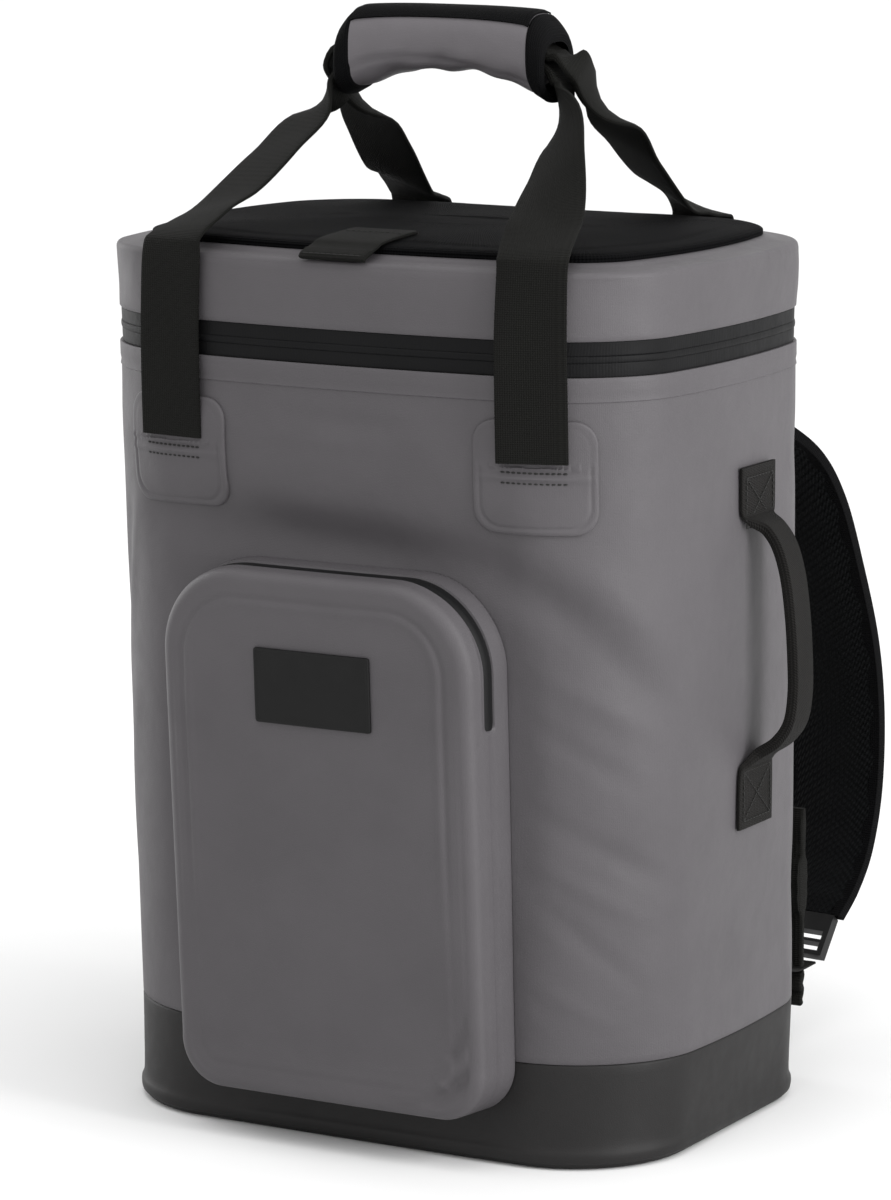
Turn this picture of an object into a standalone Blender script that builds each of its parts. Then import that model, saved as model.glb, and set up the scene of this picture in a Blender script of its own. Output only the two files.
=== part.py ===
"""Cooler backpack: an insulated tub in a moulded boot, closed by a zipped lid, with a
front pocket, a carrying handle of two long webs in a wrapped grip, side handles and
two padded shoulder straps.

Metres, +Z up. The front faces -Y and +X is on the right of someone facing it. The
origin is the centre of the foot, on the floor.
"""

import math

import bmesh
import bpy
from mathutils import Vector

# Whole body
BODY_HEIGHT = 0.457        # floor to the lid's front ridge
BODY_WIDTH = 0.332         # across the sides at their fullest
BODY_DEPTH = 0.2256        # back to front at the foot
BACK_CORNER = 0.056        # radius of the two back corners
WALL = 0.020               # padded wall of the tub and the lid
GAP = 0.0003               # clearance between neighbouring pieces

# Moulded boot under the tub
BOOT_HEIGHT = 0.054
BOOT_WALL = 0.0027
BOOT_FLOOR = 0.0030
BOOT_LIP = 0.0016          # how far the lip stands out
BOOT_LIP_HEIGHT = 0.009
BOOT_FOOT_IN = 0.0040      # the underside is this much smaller all round

# Zip round the tub's mouth
ZIP_DROP = 0.0428          # from the ridge down to its coil
ZIP_CENTRE = BODY_HEIGHT - ZIP_DROP
ZIP_BAND = 0.0172          # height of both tapes together
ZIP_THICK = 0.0024
ZIP_RECESS = 0.0008
COIL_WIDTH = 0.0036
WELD_BAND = 0.0120         # raised seam under the zip
WELD_RAISE = 0.0005

# Lid
LID_THICK = 0.024          # ridge down to the ceiling inside
RIM_WIDTH = 0.017          # grey rim round the top panel
RIM_RISE = 0.0030          # how much the rim climbs to the panel
RIDGE_ROUND = 0.0014
PANEL_EDGE = 0.0042        # height of the panel's side
PANEL_CROWN = 0.0028       # how much its middle rises above the edge
TAB_WIDTH = 0.038
TAB_LENGTH = 0.053
TAB_THICK = 0.0020
TAB_OFF_CENTRE = -0.001    # towards the left
TAB_OVERHANG = 0.001       # past the lid's ridge

# Carrying handle
WEB_WIDTH = 0.037
WEB_THICK = 0.0020
WEB_FOLDED = 0.020         # its width where it is folded inside the grip
FRONT_WEB_SPACING = 0.207  # between the two legs of the front web
FRONT_WEB_MIDDLE = 0.0060  # the front web sits this much towards +X
BACK_WEB_SPACING = 0.172
BACK_WEB_MIDDLE = -0.0060
WEB_END_DROP = 0.0940
WEB_END_HEIGHT = BODY_HEIGHT - WEB_END_DROP
ANCHOR_WIDTH = 0.064
ANCHOR_HEIGHT = 0.057
ANCHOR_DROP = 0.0730
ANCHOR_TOP = BODY_HEIGHT - ANCHOR_DROP
ANCHOR_CORNER = 0.012
ANCHOR_THICK = 0.0015
GRIP_LENGTH = 0.122
GRIP_RISE = 0.1200
GRIP_TOP = BODY_HEIGHT + GRIP_RISE
GRIP_DEPTH = 0.036
GRIP_MIDDLE = -0.012       # the grip's place from front to back
GRIP_WALL = 0.0040
GRIP_TALL_END = 0.045
GRIP_TALL_MIDDLE = 0.032
GRIP_BOW = 0.0020          # the ends droop this much
GRIP_SHOULDER = 0.0100     # how far the top falls round its two upper corners
GRIP_EXIT_FRONT = 0.0040   # how far the front web clears the grip's end
GRIP_EXIT_BACK = 0.0110    # the same for the back web, which bends over outside it
BINDING_WIDTH = 0.009
BINDING_RAISE = 0.0007

# Front pocket
POCKET_WIDTH = 0.188       # across its foot on the tub
POCKET_DROP = 0.1530
POCKET_TOP = BODY_HEIGHT - POCKET_DROP
POCKET_BOTTOM = 0.0265
POCKET_DEPTH = 0.0335      # at its top
POCKET_DEPTH_BOTTOM = 0.0285
POCKET_TAPER = 0.0050      # each side leans in this much to the panel
POCKET_TOP_CORNER = 0.046
POCKET_BOTTOM_CORNER = 0.025
POCKET_WALL = 0.0024
POCKET_EDGE = 0.0060       # radius of the panel's edge
SLOT_WIDTH = 0.0094        # pocket zip
SLOT_DEPTH = 0.0012
SLOT_REACH = 0.0760
SLOT_END_HEIGHT = POCKET_TOP - SLOT_REACH
LABEL_WIDTH = 0.067
LABEL_HEIGHT = 0.0385
LABEL_DROP = 0.0590
LABEL_CENTRE = POCKET_TOP - LABEL_DROP
LABEL_OFF_CENTRE = 0.0020
LABEL_THICK = 0.0012
LABEL_CORNER = 0.0015

# Side handles
SIDE_DROP = 0.1075
SIDE_TALL = 0.1875         # over both patches
SIDE_TOP = BODY_HEIGHT - SIDE_DROP
SIDE_BOTTOM = SIDE_TOP - SIDE_TALL
SIDE_PATCH = 0.038         # width and height of a patch
SIDE_MIDDLE = 0.008        # the handle's place from front to back
SIDE_WEB_WIDTH = 0.019
SIDE_WEB_THICK = 0.0060
SIDE_PATCH_THICK = 0.0022
SIDE_REACH = 0.0290        # how far the handle stands out from the side

# Shoulder straps
PAD_WIDTH = 0.060
PAD_THICK = 0.011
PAD_EDGE = 0.0045          # thickness at the bound edge
PAD_DROP = 0.0890
PAD_TOP_HEIGHT = BODY_HEIGHT - PAD_DROP
PAD_REACH = 0.1235         # how far the strap stands out behind the back
PAD_SPREAD = 0.105         # centre of the strap, from the middle of the back
PAD_INNER = 0.024          # the same at its top anchor
PAD_END_HEIGHT = 0.066
PAD_TURN = 0.12            # how far its outer edge turns towards the back
YOKE_WIDTH = 0.092         # patch that holds both straps' tops
YOKE_HEIGHT = 0.032
YOKE_THICK = 0.0030
LOCK_WIDTH = 0.034
LOCK_LENGTH = 0.026
LOCK_THICK = 0.0060
LOCK_SLOT = 0.0052
LOWER_WEB_WIDTH = 0.025
LOWER_WEB_THICK = 0.0016
LOWER_ANCHOR_HEIGHT = 0.070
LOWER_ANCHOR_OUT = 0.118   # place of the lower anchors from the middle
LOWER_PATCH_WIDTH = 0.040
LOWER_PATCH_HEIGHT = 0.032
LOWER_PATCH_THICK = 0.0015
TAIL_END_HEIGHT = 0.026
TAIL_ALONG = 0.66          # the tail's place, as a share of the lower web's reach
BUNDLE_TOP = 0.136
BUNDLE_THICK = 0.013

# Steps along one half of the body's outline
FRONT_STEPS = 4
CORNER_STEPS = 5
SIDE_STEPS = 4
BACK_STEPS = 2

# The body's section. Height is a share of BODY_HEIGHT. Width, side bow and front
# corner are shares of BODY_WIDTH. Front and front bow are shares of BODY_DEPTH.
SECTIONS = (
    # height, width, front, side bow, front bow, front corner
    (0.000, 0.952, 0.500, 0.000, 0.017, 0.183),
    (0.118, 0.930, 0.501, 0.031, 0.005, 0.190),
    (0.520, 0.915, 0.521, 0.041, 0.034, 0.166),
    (0.907, 0.902, 0.540, 0.046, 0.052, 0.145),
    (1.000, 0.904, 0.521, 0.049, 0.063, 0.110),
)

# The top panel's profile. Inset is a share of RIM_WIDTH from its edge, edge a share
# of PANEL_EDGE and crown a share of PANEL_CROWN.
PANEL_SHAPE = (
    # inset, edge, crown
    (0.00, 0.00, 0.00),
    (0.00, 0.55, 0.00),
    (0.12, 0.88, 0.00),
    (0.40, 1.00, 0.08),
    (1.60, 1.00, 0.55),
    (5.20, 1.00, 1.00),
)

# The legs of the carrying webs above the ridge, from the ridge to the grip's end.
# Along, in and lift are shares of the way between them, and wide is a share of the
# change from the folded to the full width. Right and left say how far the +X edge of
# each leg has turned back, in degrees.
FRONT_LEG = (
    # along, in, lift, wide, right, left
    (0.03, 0.02, 0.10, 1.00, 15, -14),
    (0.17, 0.14, 0.20, 1.00, 18, -17),
    (0.37, 0.31, 0.33, 1.00, 17, -18),
    (0.61, 0.55, 0.57, 1.00, -2, -20),
    (0.83, 0.77, 0.80, 0.80, -22, -24),
    (0.95, 0.95, 0.93, 0.15, -80, -74),
)
BACK_LEG = (
    # along, in, lift, wide, right, left
    (0.03, 0.04, 0.09, 1.00, -8, 6),
    (0.16, 0.20, 0.165, 1.00, -13, 5),
    (0.33, 0.43, 0.25, 1.00, -17, 5),
    (0.54, 0.70, 0.47, 1.00, -16, 3),
    (0.73, 0.88, 0.69, 0.85, -14, -10),
    (0.91, 1.00, 0.88, 0.15, -78, -78),
)

# Side handle between its patches. Drop is a share of the height between the
# patches' outer edges, out a share of SIDE_REACH, slim a share of the change from
# the patch's section to the handle's.
SIDE_RUN = (
    # drop, out, slim
    (0.150, 0.12, 0.55),
    (0.172, 0.36, 1.00),
    (0.220, 0.58, 1.00),
    (0.300, 0.74, 1.00),
    (0.410, 0.84, 1.00),
    (0.520, 0.89, 1.00),
    (0.620, 0.90, 1.00),
    (0.700, 0.82, 1.00),
    (0.755, 0.58, 1.00),
    (0.790, 0.26, 1.00),
    (0.815, 0.12, 0.55),
)

# Shoulder pad, top to bottom. Drop is a share of the height from its top to its
# end, out a share of PAD_REACH, spread a share of the way from PAD_INNER to
# PAD_SPREAD, wide a share of PAD_WIDTH.
PAD_RUN = (
    # drop, out, spread, wide
    (0.060, 0.000, 0.00, 0.66),
    (0.030, 0.000, 0.00, 0.70),
    (0.004, 0.045, 0.06, 0.74),
    (0.000, 0.140, 0.24, 0.80),
    (0.022, 0.240, 0.45, 0.88),
    (0.066, 0.330, 0.66, 0.95),
    (0.130, 0.530, 0.81, 1.00),
    (0.215, 0.655, 0.91, 1.00),
    (0.340, 0.773, 0.97, 1.00),
    (0.490, 0.920, 1.00, 1.00),
    (0.630, 1.000, 1.00, 1.00),
    (0.770, 0.998, 1.00, 0.98),
    (0.880, 0.940, 1.00, 0.90),
    (0.950, 0.850, 1.00, 0.78),
    (1.000, 0.740, 1.00, 0.64),
)

# Rolled tail above the lower web, top to bottom. Drop is a share of its height,
# thick a share of BUNDLE_THICK.
BUNDLE = (
    # drop, thick
    (0.00, 0.25),
    (0.10, 0.50),
    (0.28, 0.42),
    (0.36, 0.95),
    (0.50, 1.00),
    (0.62, 0.90),
    (0.70, 0.36),
    (1.00, 0.34),
)

# Colours from the photograph, as linear values
COATED_GREY = (0.165, 0.160, 0.170)
BOOT_BLACK = (0.028, 0.027, 0.027)
WEB_BLACK = (0.012, 0.012, 0.011)
PANEL_BLACK = (0.017, 0.017, 0.019)
ZIP_BLACK = (0.022, 0.022, 0.024)
MESH_BLACK = (0.006, 0.007, 0.008)
HARD_BLACK = (0.020, 0.020, 0.020)


def lerp(start, end, share):
    """The value that lies this share of the way from start to end."""
    return start + (end - start) * share


def section_at(z):
    """Width, front, side bow, front bow and front corner of the body at height z."""
    share = z / BODY_HEIGHT
    rows = list(zip(SECTIONS, SECTIONS[1:]))
    low, high = rows[-1]
    for lower, upper in rows:
        if share <= upper[0]:
            low, high = lower, upper
            break
    along = (share - low[0]) / (high[0] - low[0])
    width, front, side_bow, front_bow, corner = (
        lerp(a, b, along) for a, b in zip(low[1:], high[1:])
    )
    return (
        width * BODY_WIDTH,
        -front * BODY_DEPTH,
        side_bow * BODY_WIDTH,
        front_bow * BODY_DEPTH,
        corner * BODY_WIDTH,
    )


def half_outline(z, inset, fine=1):
    """Right half of the body's outline at height z, from front middle to back middle."""
    width, front, side_bow, front_bow, corner = section_at(z)
    half = width / 2 - inset
    front = front + inset
    back = BODY_DEPTH / 2 - inset
    middle = (front + back) / 2
    deep = (back - front) / 2
    front_round = max(corner - inset, 0.2 * corner)
    back_round = max(BACK_CORNER - inset, 0.2 * BACK_CORNER)
    flat = []
    for i in range(FRONT_STEPS * fine):
        flat.append((lerp(0.0, half - front_round, i / (FRONT_STEPS * fine)), -deep))
    for i in range(CORNER_STEPS * fine):
        turn = math.radians(lerp(-90.0, 0.0, i / (CORNER_STEPS * fine)))
        x = half - front_round + front_round * math.cos(turn)
        y = -deep + front_round + front_round * math.sin(turn)
        flat.append((x, y))
    for i in range(SIDE_STEPS * fine):
        share = i / (SIDE_STEPS * fine)
        flat.append((half, lerp(-deep + front_round, deep - back_round, share)))
    for i in range(CORNER_STEPS * fine):
        turn = math.radians(lerp(0.0, 90.0, i / (CORNER_STEPS * fine)))
        x = half - back_round + back_round * math.cos(turn)
        y = deep - back_round + back_round * math.sin(turn)
        flat.append((x, y))
    for i in range(BACK_STEPS * fine + 1):
        flat.append((lerp(half - back_round, 0.0, i / (BACK_STEPS * fine)), deep))
    points = []
    for x, y in flat:
        side = side_bow * (1 - (y / deep) ** 2) if x > 0 else 0.0
        out = front_bow * (1 - (x / half) ** 2) * max(-y / deep, 0.0)
        points.append((x + side, middle + y - out))
    return points


def outline(z, inset=0.0):
    """The body's whole outline at height z, counter-clockwise from front middle."""
    half = half_outline(z, inset)
    points = half + [(-x, y) for x, y in reversed(half[1:-1])]
    return [Vector((x, y, z)) for x, y in points]


def front_y(x, z):
    """The front wall's y at x and z, between its corners."""
    width, front, _, front_bow, _ = section_at(z)
    return front - front_bow * (1 - (2 * x / width) ** 2)


def side_x(y, z):
    """The side wall's x at y and z, between its corners."""
    width, front, side_bow, _, _ = section_at(z)
    middle = (front + BODY_DEPTH / 2) / 2
    deep = (BODY_DEPTH / 2 - front) / 2
    return width / 2 + side_bow * (1 - ((y - middle) / deep) ** 2)


def skin(points, run, z, out):
    """A point run metres along half an outline from its middle, and out from it."""
    left = abs(run)
    for (x0, y0), (x1, y1) in zip(points, points[1:]):
        step = math.hypot(x1 - x0, y1 - y0)
        if left <= step:
            share = left / step
            lean = math.copysign(out / step, x1 - x0) if x0 == 0.0 else out / step
            turn = 1 if points[0][1] < points[-1][1] else -1
            x = lerp(x0, x1, share) + turn * lean * (y1 - y0)
            y = lerp(y0, y1, share) - turn * lean * (x1 - x0)
            return Vector((math.copysign(x, run), y, z))
        left -= step
    return Vector((0.0, points[-1][1], z))


def front_skin(run, z, out):
    """A point on the front, run metres round from its middle and out from the wall."""
    return skin(half_outline(z, 0.0, fine=6), run, z, out)


def back_skin(run, z, out):
    """The same on the back."""
    return skin(half_outline(z, 0.0, fine=6)[::-1], run, z, out)


def wall(low, high, inset):
    """Outlines from one height to another, also where the section's slope changes."""
    stops = [low, high]
    for row in SECTIONS:
        height = row[0] * BODY_HEIGHT
        if min(low, high) < height < max(low, high):
            stops.append(height)
    return [outline(z, inset) for z in sorted(stops, reverse=low > high)]


def material(name, colour, roughness, metallic=0.0):
    """A Principled material, made once and shared by name."""
    found = bpy.data.materials.get(name)
    if found:
        return found
    made = bpy.data.materials.new(name)
    made.use_nodes = True
    shader = made.node_tree.nodes["Principled BSDF"]
    shader.inputs["Base Color"].default_value = (*colour, 1.0)
    shader.inputs["Roughness"].default_value = roughness
    shader.inputs["Metallic"].default_value = metallic
    return made


def coated():
    return material("coated_fabric", COATED_GREY, 0.55)


def webbing():
    return material("webbing", WEB_BLACK, 0.80)


def make(name, vertices, faces, slot):
    """One object from vertices and faces, with its faces turned outwards."""
    mesh = bpy.data.meshes.new(name)
    mesh.from_pydata([tuple(v) for v in vertices], [], faces)
    shape = bmesh.new()
    shape.from_mesh(mesh)
    bmesh.ops.triangulate(shape, faces=shape.faces)
    bmesh.ops.recalc_face_normals(shape, faces=shape.faces)
    shape.to_mesh(mesh)
    shape.free()
    mesh.materials.append(slot)
    mesh.shade_smooth()
    mesh.set_sharp_from_angle(angle=math.radians(35))
    made = bpy.data.objects.new(name, mesh)
    collection().objects.link(made)
    return made


def collection():
    """The collection that holds the backpack's pieces."""
    found = bpy.data.collections.get("cooler_backpack")
    if found is None:
        found = bpy.data.collections.new("cooler_backpack")
        bpy.context.scene.collection.children.link(found)
    return found


def loft(name, rings, slot, closed=False):
    """Skin over rings of equal count. Both ends are capped, or joined when closed."""
    count = len(rings[0])
    vertices = [point for ring in rings for point in ring]
    faces = []
    pairs = len(rings) if closed else len(rings) - 1
    for r in range(pairs):
        a = r * count
        b = ((r + 1) % len(rings)) * count
        for i in range(count):
            j = (i + 1) % count
            faces.append((a + i, a + j, b + j, b + i))
    if not closed:
        faces.append(tuple(reversed(range(count))))
        faces.append(tuple(range((len(rings) - 1) * count, len(rings) * count)))
    return make(name, vertices, faces, slot)


def rounded_box(low_u, high_u, low_v, high_v, radius, steps=4, between=0):
    """Outline of a rectangle with round corners, counter-clockwise, with this many
    points between the corners on each side."""
    corners = (
        (high_u - radius, low_v + radius, -90),
        (high_u - radius, high_v - radius, 0),
        (low_u + radius, high_v - radius, 90),
        (low_u + radius, low_v + radius, 180),
    )
    points = []
    for number, (u, v, start) in enumerate(corners):
        for i in range(steps + 1):
            turn = math.radians(start + 90 * i / steps)
            points.append((u + radius * math.cos(turn), v + radius * math.sin(turn)))
        leave = points[-1]
        next_u, next_v, turn = corners[(number + 1) % 4]
        meet = (next_u + radius * math.cos(math.radians(turn)),
                next_v + radius * math.sin(math.radians(turn)))
        for i in range(between):
            share = (i + 1) / (between + 1)
            points.append((lerp(leave[0], meet[0], share), lerp(leave[1], meet[1], share)))
    return points


def plate(name, edge, place, low, high, slot, shares=(0.5,)):
    """A thin plate with this outline, bent to follow place(u, v, out). Shares are the
    sizes of the rings inside its edge."""
    mid_u = sum(u for u, _ in edge) / len(edge)
    mid_v = sum(v for _, v in edge) / len(edge)
    soft = (high - low) * 0.4

    def ring(share, out, draw=0.0):
        made = []
        for u, v in edge:
            away = math.hypot(u - mid_u, v - mid_v)
            scale = share - draw / away
            made.append(place(lerp(mid_u, u, scale), lerp(mid_v, v, scale), out))
        return made

    rings = [ring(share, low) for share in shares]
    rings.append(ring(1.0, low))
    rings.append(ring(1.0, high - soft))
    rings.append(ring(1.0, high, soft))
    rings += [ring(share, high) for share in reversed(shares)]
    return loft(name, rings, slot)


def smooth(rows, steps):
    """Rows of numbers along a smooth curve through the given rows."""
    padded = [rows[0]] + list(rows) + [rows[-1]]
    made = []
    for k in range(1, len(padded) - 2):
        p0, p1, p2, p3 = padded[k - 1:k + 3]
        for i in range(steps):
            t = i / steps
            made.append(tuple(
                0.5 * (2 * b + (c - a) * t + (2 * a - 5 * b + 4 * c - d) * t ** 2
                       + (3 * b - a - 3 * c + d) * t ** 3)
                for a, b, c, d in zip(p0, p1, p2, p3)
            ))
    made.append(tuple(rows[-1]))
    return made


def ribbon_rings(path, hints, widths, thicknesses, edge=1.0, sheared=False):
    """Sections of a flat strap along path. Hints give its width direction, and edge
    is the share of the thickness that is left at its two edges. Sheared sections keep
    the hint as it is, for a strap that curves in its own plane."""
    rings = []
    for i, point in enumerate(path):
        before = path[max(i - 1, 0)]
        after = path[min(i + 1, len(path) - 1)]
        ahead = (after - before).normalized()
        across = hints[i].normalized()
        if not sheared:
            across = (across - ahead * across.dot(ahead)).normalized()
        normal = ahead.cross(across).normalized()
        w = across * widths[i] / 2
        t = normal * thicknesses[i] / 2
        if edge == 1.0:
            rings.append([point + w + t, point - w + t, point - w - t, point + w - t])
            continue
        thin = t * edge
        rings.append([
            point + w + thin, point + w * 0.72 + t, point - w * 0.72 + t,
            point - w + thin, point - w - thin, point - w * 0.72 - t,
            point + w * 0.72 - t, point + w - thin,
        ])
    return rings


def tub():
    """The insulated tub: it steps in behind the boot and behind the zip."""
    mouth = ZIP_CENTRE - GAP / 2
    shoulder = ZIP_CENTRE - ZIP_BAND / 2 - GAP
    behind_boot = BOOT_WALL + GAP
    behind_zip = ZIP_RECESS + ZIP_THICK + GAP
    foot = BOOT_FLOOR + GAP
    seam = shoulder - WELD_BAND
    rings = [outline(foot, behind_boot + BOOT_FOOT_IN)]
    rings += wall(foot + BOOT_FOOT_IN, BOOT_HEIGHT + GAP, behind_boot)
    rings += wall(BOOT_HEIGHT + GAP, seam - WELD_RAISE, 0.0)
    rings += wall(seam, shoulder, -WELD_RAISE)
    rings += wall(shoulder, mouth, behind_zip)
    rings += wall(mouth, foot + WALL + BOOT_FOOT_IN, WALL)
    rings.append(outline(foot + WALL, WALL + BOOT_FOOT_IN))
    loft("body_shell", rings, coated())


def boot():
    """The moulded boot, a shallow tray with a lip near the floor."""
    slot = material("boot_rubber", BOOT_BLACK, 0.50)
    rings = [
        outline(0.0, BOOT_FOOT_IN),
        outline(BOOT_FOOT_IN * 0.35, BOOT_FOOT_IN * 0.25),
        outline(BOOT_LIP_HEIGHT * 0.75, -BOOT_LIP),
        outline(BOOT_LIP_HEIGHT, -BOOT_LIP),
    ]
    rings += wall(BOOT_LIP_HEIGHT + BOOT_LIP * 1.5, BOOT_HEIGHT, 0.0)
    rings += wall(BOOT_HEIGHT, BOOT_FLOOR + BOOT_FOOT_IN, BOOT_WALL)
    rings.append(outline(BOOT_FLOOR, BOOT_WALL + BOOT_FOOT_IN))
    loft("base_boot", rings, slot)


def zip_band():
    """Both zip tapes and the coil between them, as one ring."""
    low = ZIP_CENTRE - ZIP_BAND / 2
    high = ZIP_CENTRE + ZIP_BAND / 2
    half = COIL_WIDTH / 2
    rings = wall(low, ZIP_CENTRE - half, ZIP_RECESS)
    rings.append(outline(ZIP_CENTRE, ZIP_RECESS * 2))
    rings += wall(ZIP_CENTRE + half, high, ZIP_RECESS)
    rings += wall(high, low, ZIP_RECESS + ZIP_THICK)
    loft("zip_band", rings, material("zip_tape", ZIP_BLACK, 0.60), closed=True)


def lid():
    """The padded lid, hollow underneath, with a ridge round its top."""
    mouth = ZIP_CENTRE + GAP / 2
    shoulder = ZIP_CENTRE + ZIP_BAND / 2 + GAP
    behind_zip = ZIP_RECESS + ZIP_THICK + GAP
    ceiling = BODY_HEIGHT - LID_THICK
    top = [Vector((p.x, p.y, BODY_HEIGHT + RIM_RISE)) for p in outline(BODY_HEIGHT, RIM_WIDTH)]
    rings = [
        top,
        outline(BODY_HEIGHT, RIDGE_ROUND),
    ]
    rings += wall(BODY_HEIGHT - RIDGE_ROUND, shoulder, 0.0)
    rings += wall(shoulder, mouth, behind_zip)
    rings += wall(mouth, ceiling, WALL)
    loft("lid", rings, coated())


def panel_base():
    """Height on which the top panel and the lid tab are placed."""
    return BODY_HEIGHT + RIM_RISE + GAP


def panel_height(inset):
    """Height of the top panel's face, inset metres in from its edge."""
    share = inset / RIM_WIDTH
    rows = PANEL_SHAPE[1:]
    for lower, upper in zip(rows, rows[1:]):
        if share <= upper[0]:
            along = (share - lower[0]) / (upper[0] - lower[0])
            edge = lerp(lower[1], upper[1], along)
            crown = lerp(lower[2], upper[2], along)
            return panel_base() + edge * PANEL_EDGE + crown * PANEL_CROWN
    return panel_base() + rows[-1][1] * PANEL_EDGE + rows[-1][2] * PANEL_CROWN


def top_panel():
    """The black padded panel on the lid, domed with a round shoulder."""
    rim = RIM_WIDTH + GAP
    rings = []
    for inset, edge, crown in PANEL_SHAPE:
        height = panel_base() + edge * PANEL_EDGE + crown * PANEL_CROWN
        ring = outline(BODY_HEIGHT, rim + inset * RIM_WIDTH)
        rings.append([Vector((p.x, p.y, height)) for p in ring])
    loft("top_panel", rings, material("panel_fabric", PANEL_BLACK, 0.65))


def lid_tab():
    """The web tab that lies over the lid's front edge."""
    ridge = front_y(TAB_OFF_CENTRE, BODY_HEIGHT)
    front = ridge - TAB_OVERHANG
    panel = ridge + RIM_WIDTH + GAP
    lie = TAB_THICK / 2 + GAP * 2
    low = BODY_HEIGHT + lie + TAB_THICK * 0.35
    rows = [
        (front, low - TAB_THICK * 0.4),
        (ridge + TAB_OVERHANG, low + RIM_RISE * 0.35),
        (lerp(ridge, panel, 0.62), low + RIM_RISE + PANEL_EDGE * 0.25),
        (panel - TAB_THICK * 0.6, panel_height(0.0) + lie + PANEL_EDGE * 0.25),
    ]
    for share in (0.45, 1.00, 1.70, 2.60):
        inset = share * RIM_WIDTH
        if panel + inset < front + TAB_LENGTH:
            rows.append((panel + inset, panel_height(inset) + lie))
    rows.append((front + TAB_LENGTH, panel_height(front + TAB_LENGTH - panel) + lie))
    path = [Vector((TAB_OFF_CENTRE, y, z)) for y, z in smooth(rows, 2)]
    count = len(path)
    hints = [Vector((1.0, 0.0, 0.0))] * count
    thicknesses = [TAB_THICK * (1.7 if i < 2 else 1.0) for i in range(count)]
    rings = ribbon_rings(path, hints, [TAB_WIDTH] * count, thicknesses)
    loft("lid_tab", rings, webbing())


def web_places(front):
    """Where the two legs of a web stand on the wall, right and left."""
    middle = FRONT_WEB_MIDDLE if front else BACK_WEB_MIDDLE
    half = (FRONT_WEB_SPACING if front else BACK_WEB_SPACING) / 2
    return middle + half, middle - half


def anchors():
    """The four welded patches that hold the carrying webs."""
    half = ANCHOR_WIDTH / 2
    low = ANCHOR_TOP - ANCHOR_HEIGHT
    for name, place, front in (("front", front_skin, True), ("back", back_skin, False)):
        for end, run in zip(("right", "left"), web_places(front)):
            edge = rounded_box(run - half, run + half, low, ANCHOR_TOP, ANCHOR_CORNER, 3, 3)
            plate(name + "_anchor_" + end, edge, place, GAP * 2, GAP * 2 + ANCHOR_THICK,
                  coated(), shares=(0.15, 0.55))


def web_level(front):
    """Height of a web's middle inside the grip. The back web lies over the front one."""
    middle = GRIP_TOP - GRIP_TALL_MIDDLE * 0.6
    return middle - WEB_THICK * 1.4 if front else middle + WEB_THICK * 1.2


def web_leg(front, side):
    """Rows of one leg of a carrying web, from its end on the wall to the grip's middle.
    Each row is a point, the width direction's turn in degrees, and the width's share."""
    facing = -1 if front else 1
    place = front_skin if front else back_skin
    lie = GAP * 4 + ANCHOR_THICK + WEB_THICK / 2
    run = web_places(front)[0 if side > 0 else 1]
    level = web_level(front)
    droop = GRIP_SHOULDER * (0.95 if front else 0.65)
    clear = GRIP_EXIT_FRONT if front else GRIP_EXIT_BACK
    end = Vector((side * (GRIP_LENGTH / 2 + clear), GRIP_MIDDLE + facing * WEB_THICK * 0.5,
                  level - droop - (WEB_THICK * 4.5 if front else WEB_THICK * 2)))
    ridge = place(run, BODY_HEIGHT, lie)
    rows = []
    for share in (0.0, 0.33, 0.67, 1.0):
        height = lerp(WEB_END_HEIGHT, BODY_HEIGHT, share)
        point = place(run, height, lie)
        ahead = place(run + WEB_THICK, height, lie) - place(run - WEB_THICK, height, lie)
        rows.append((*point, math.degrees(math.atan2(ahead.y, ahead.x)), 1.0))
    for along, inward, lift, wide, right, left in FRONT_LEG if front else BACK_LEG:
        rows.append((
            lerp(ridge.x, end.x, inward), lerp(ridge.y, end.y, along),
            lerp(ridge.z, end.z, lift), right if side > 0 else left, wide,
        ))
    rows.append((*end, -90, 0.0))
    rows.append((side * GRIP_LENGTH / 2, GRIP_MIDDLE, level - droop, -90, 0.0))
    inside = side * (GRIP_LENGTH / 2 - BINDING_WIDTH)
    rows.append((inside, GRIP_MIDDLE, level - droop * 0.35, -90, 0.0))
    crest = GRIP_TOP - GRIP_WALL - GAP - WEB_THICK * 2.3
    if front:
        crest -= WEB_THICK * 2 + GAP * 2
    rows.append((inside * 0.45, GRIP_MIDDLE, lerp(level, crest, 0.75), -90, 0.0))
    rows.append((0.0, GRIP_MIDDLE, crest, -90, 0.0))
    return smooth(rows, 2)


def carrying_web(name, front):
    """One long web: up the wall, over the ridge, through the grip and down again. It
    is folded in half along its length where it runs through the grip."""
    rows = web_leg(front, 1) + web_leg(front, -1)[-2::-1]
    path = [Vector(row[:3]) for row in rows]
    hints = []
    for i, row in enumerate(rows):
        ahead = (path[min(i + 1, len(path) - 1)] - path[max(i - 1, 0)]).normalized()
        turn = math.radians(row[3])
        level = Vector((math.cos(turn), math.sin(turn), 0.0))
        level.z = -level.dot(ahead) * ahead.z / (ahead.z ** 2 + 0.02)
        hints.append(level)
    shares = [min(max(row[4], 0.0), 1.0) for row in rows]
    widths = [lerp(WEB_FOLDED, WEB_WIDTH, share) for share in shares]
    thicknesses = [lerp(WEB_THICK * 2, WEB_THICK, share) for share in shares]
    loft(name, ribbon_rings(path, hints, widths, thicknesses), webbing())


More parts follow.
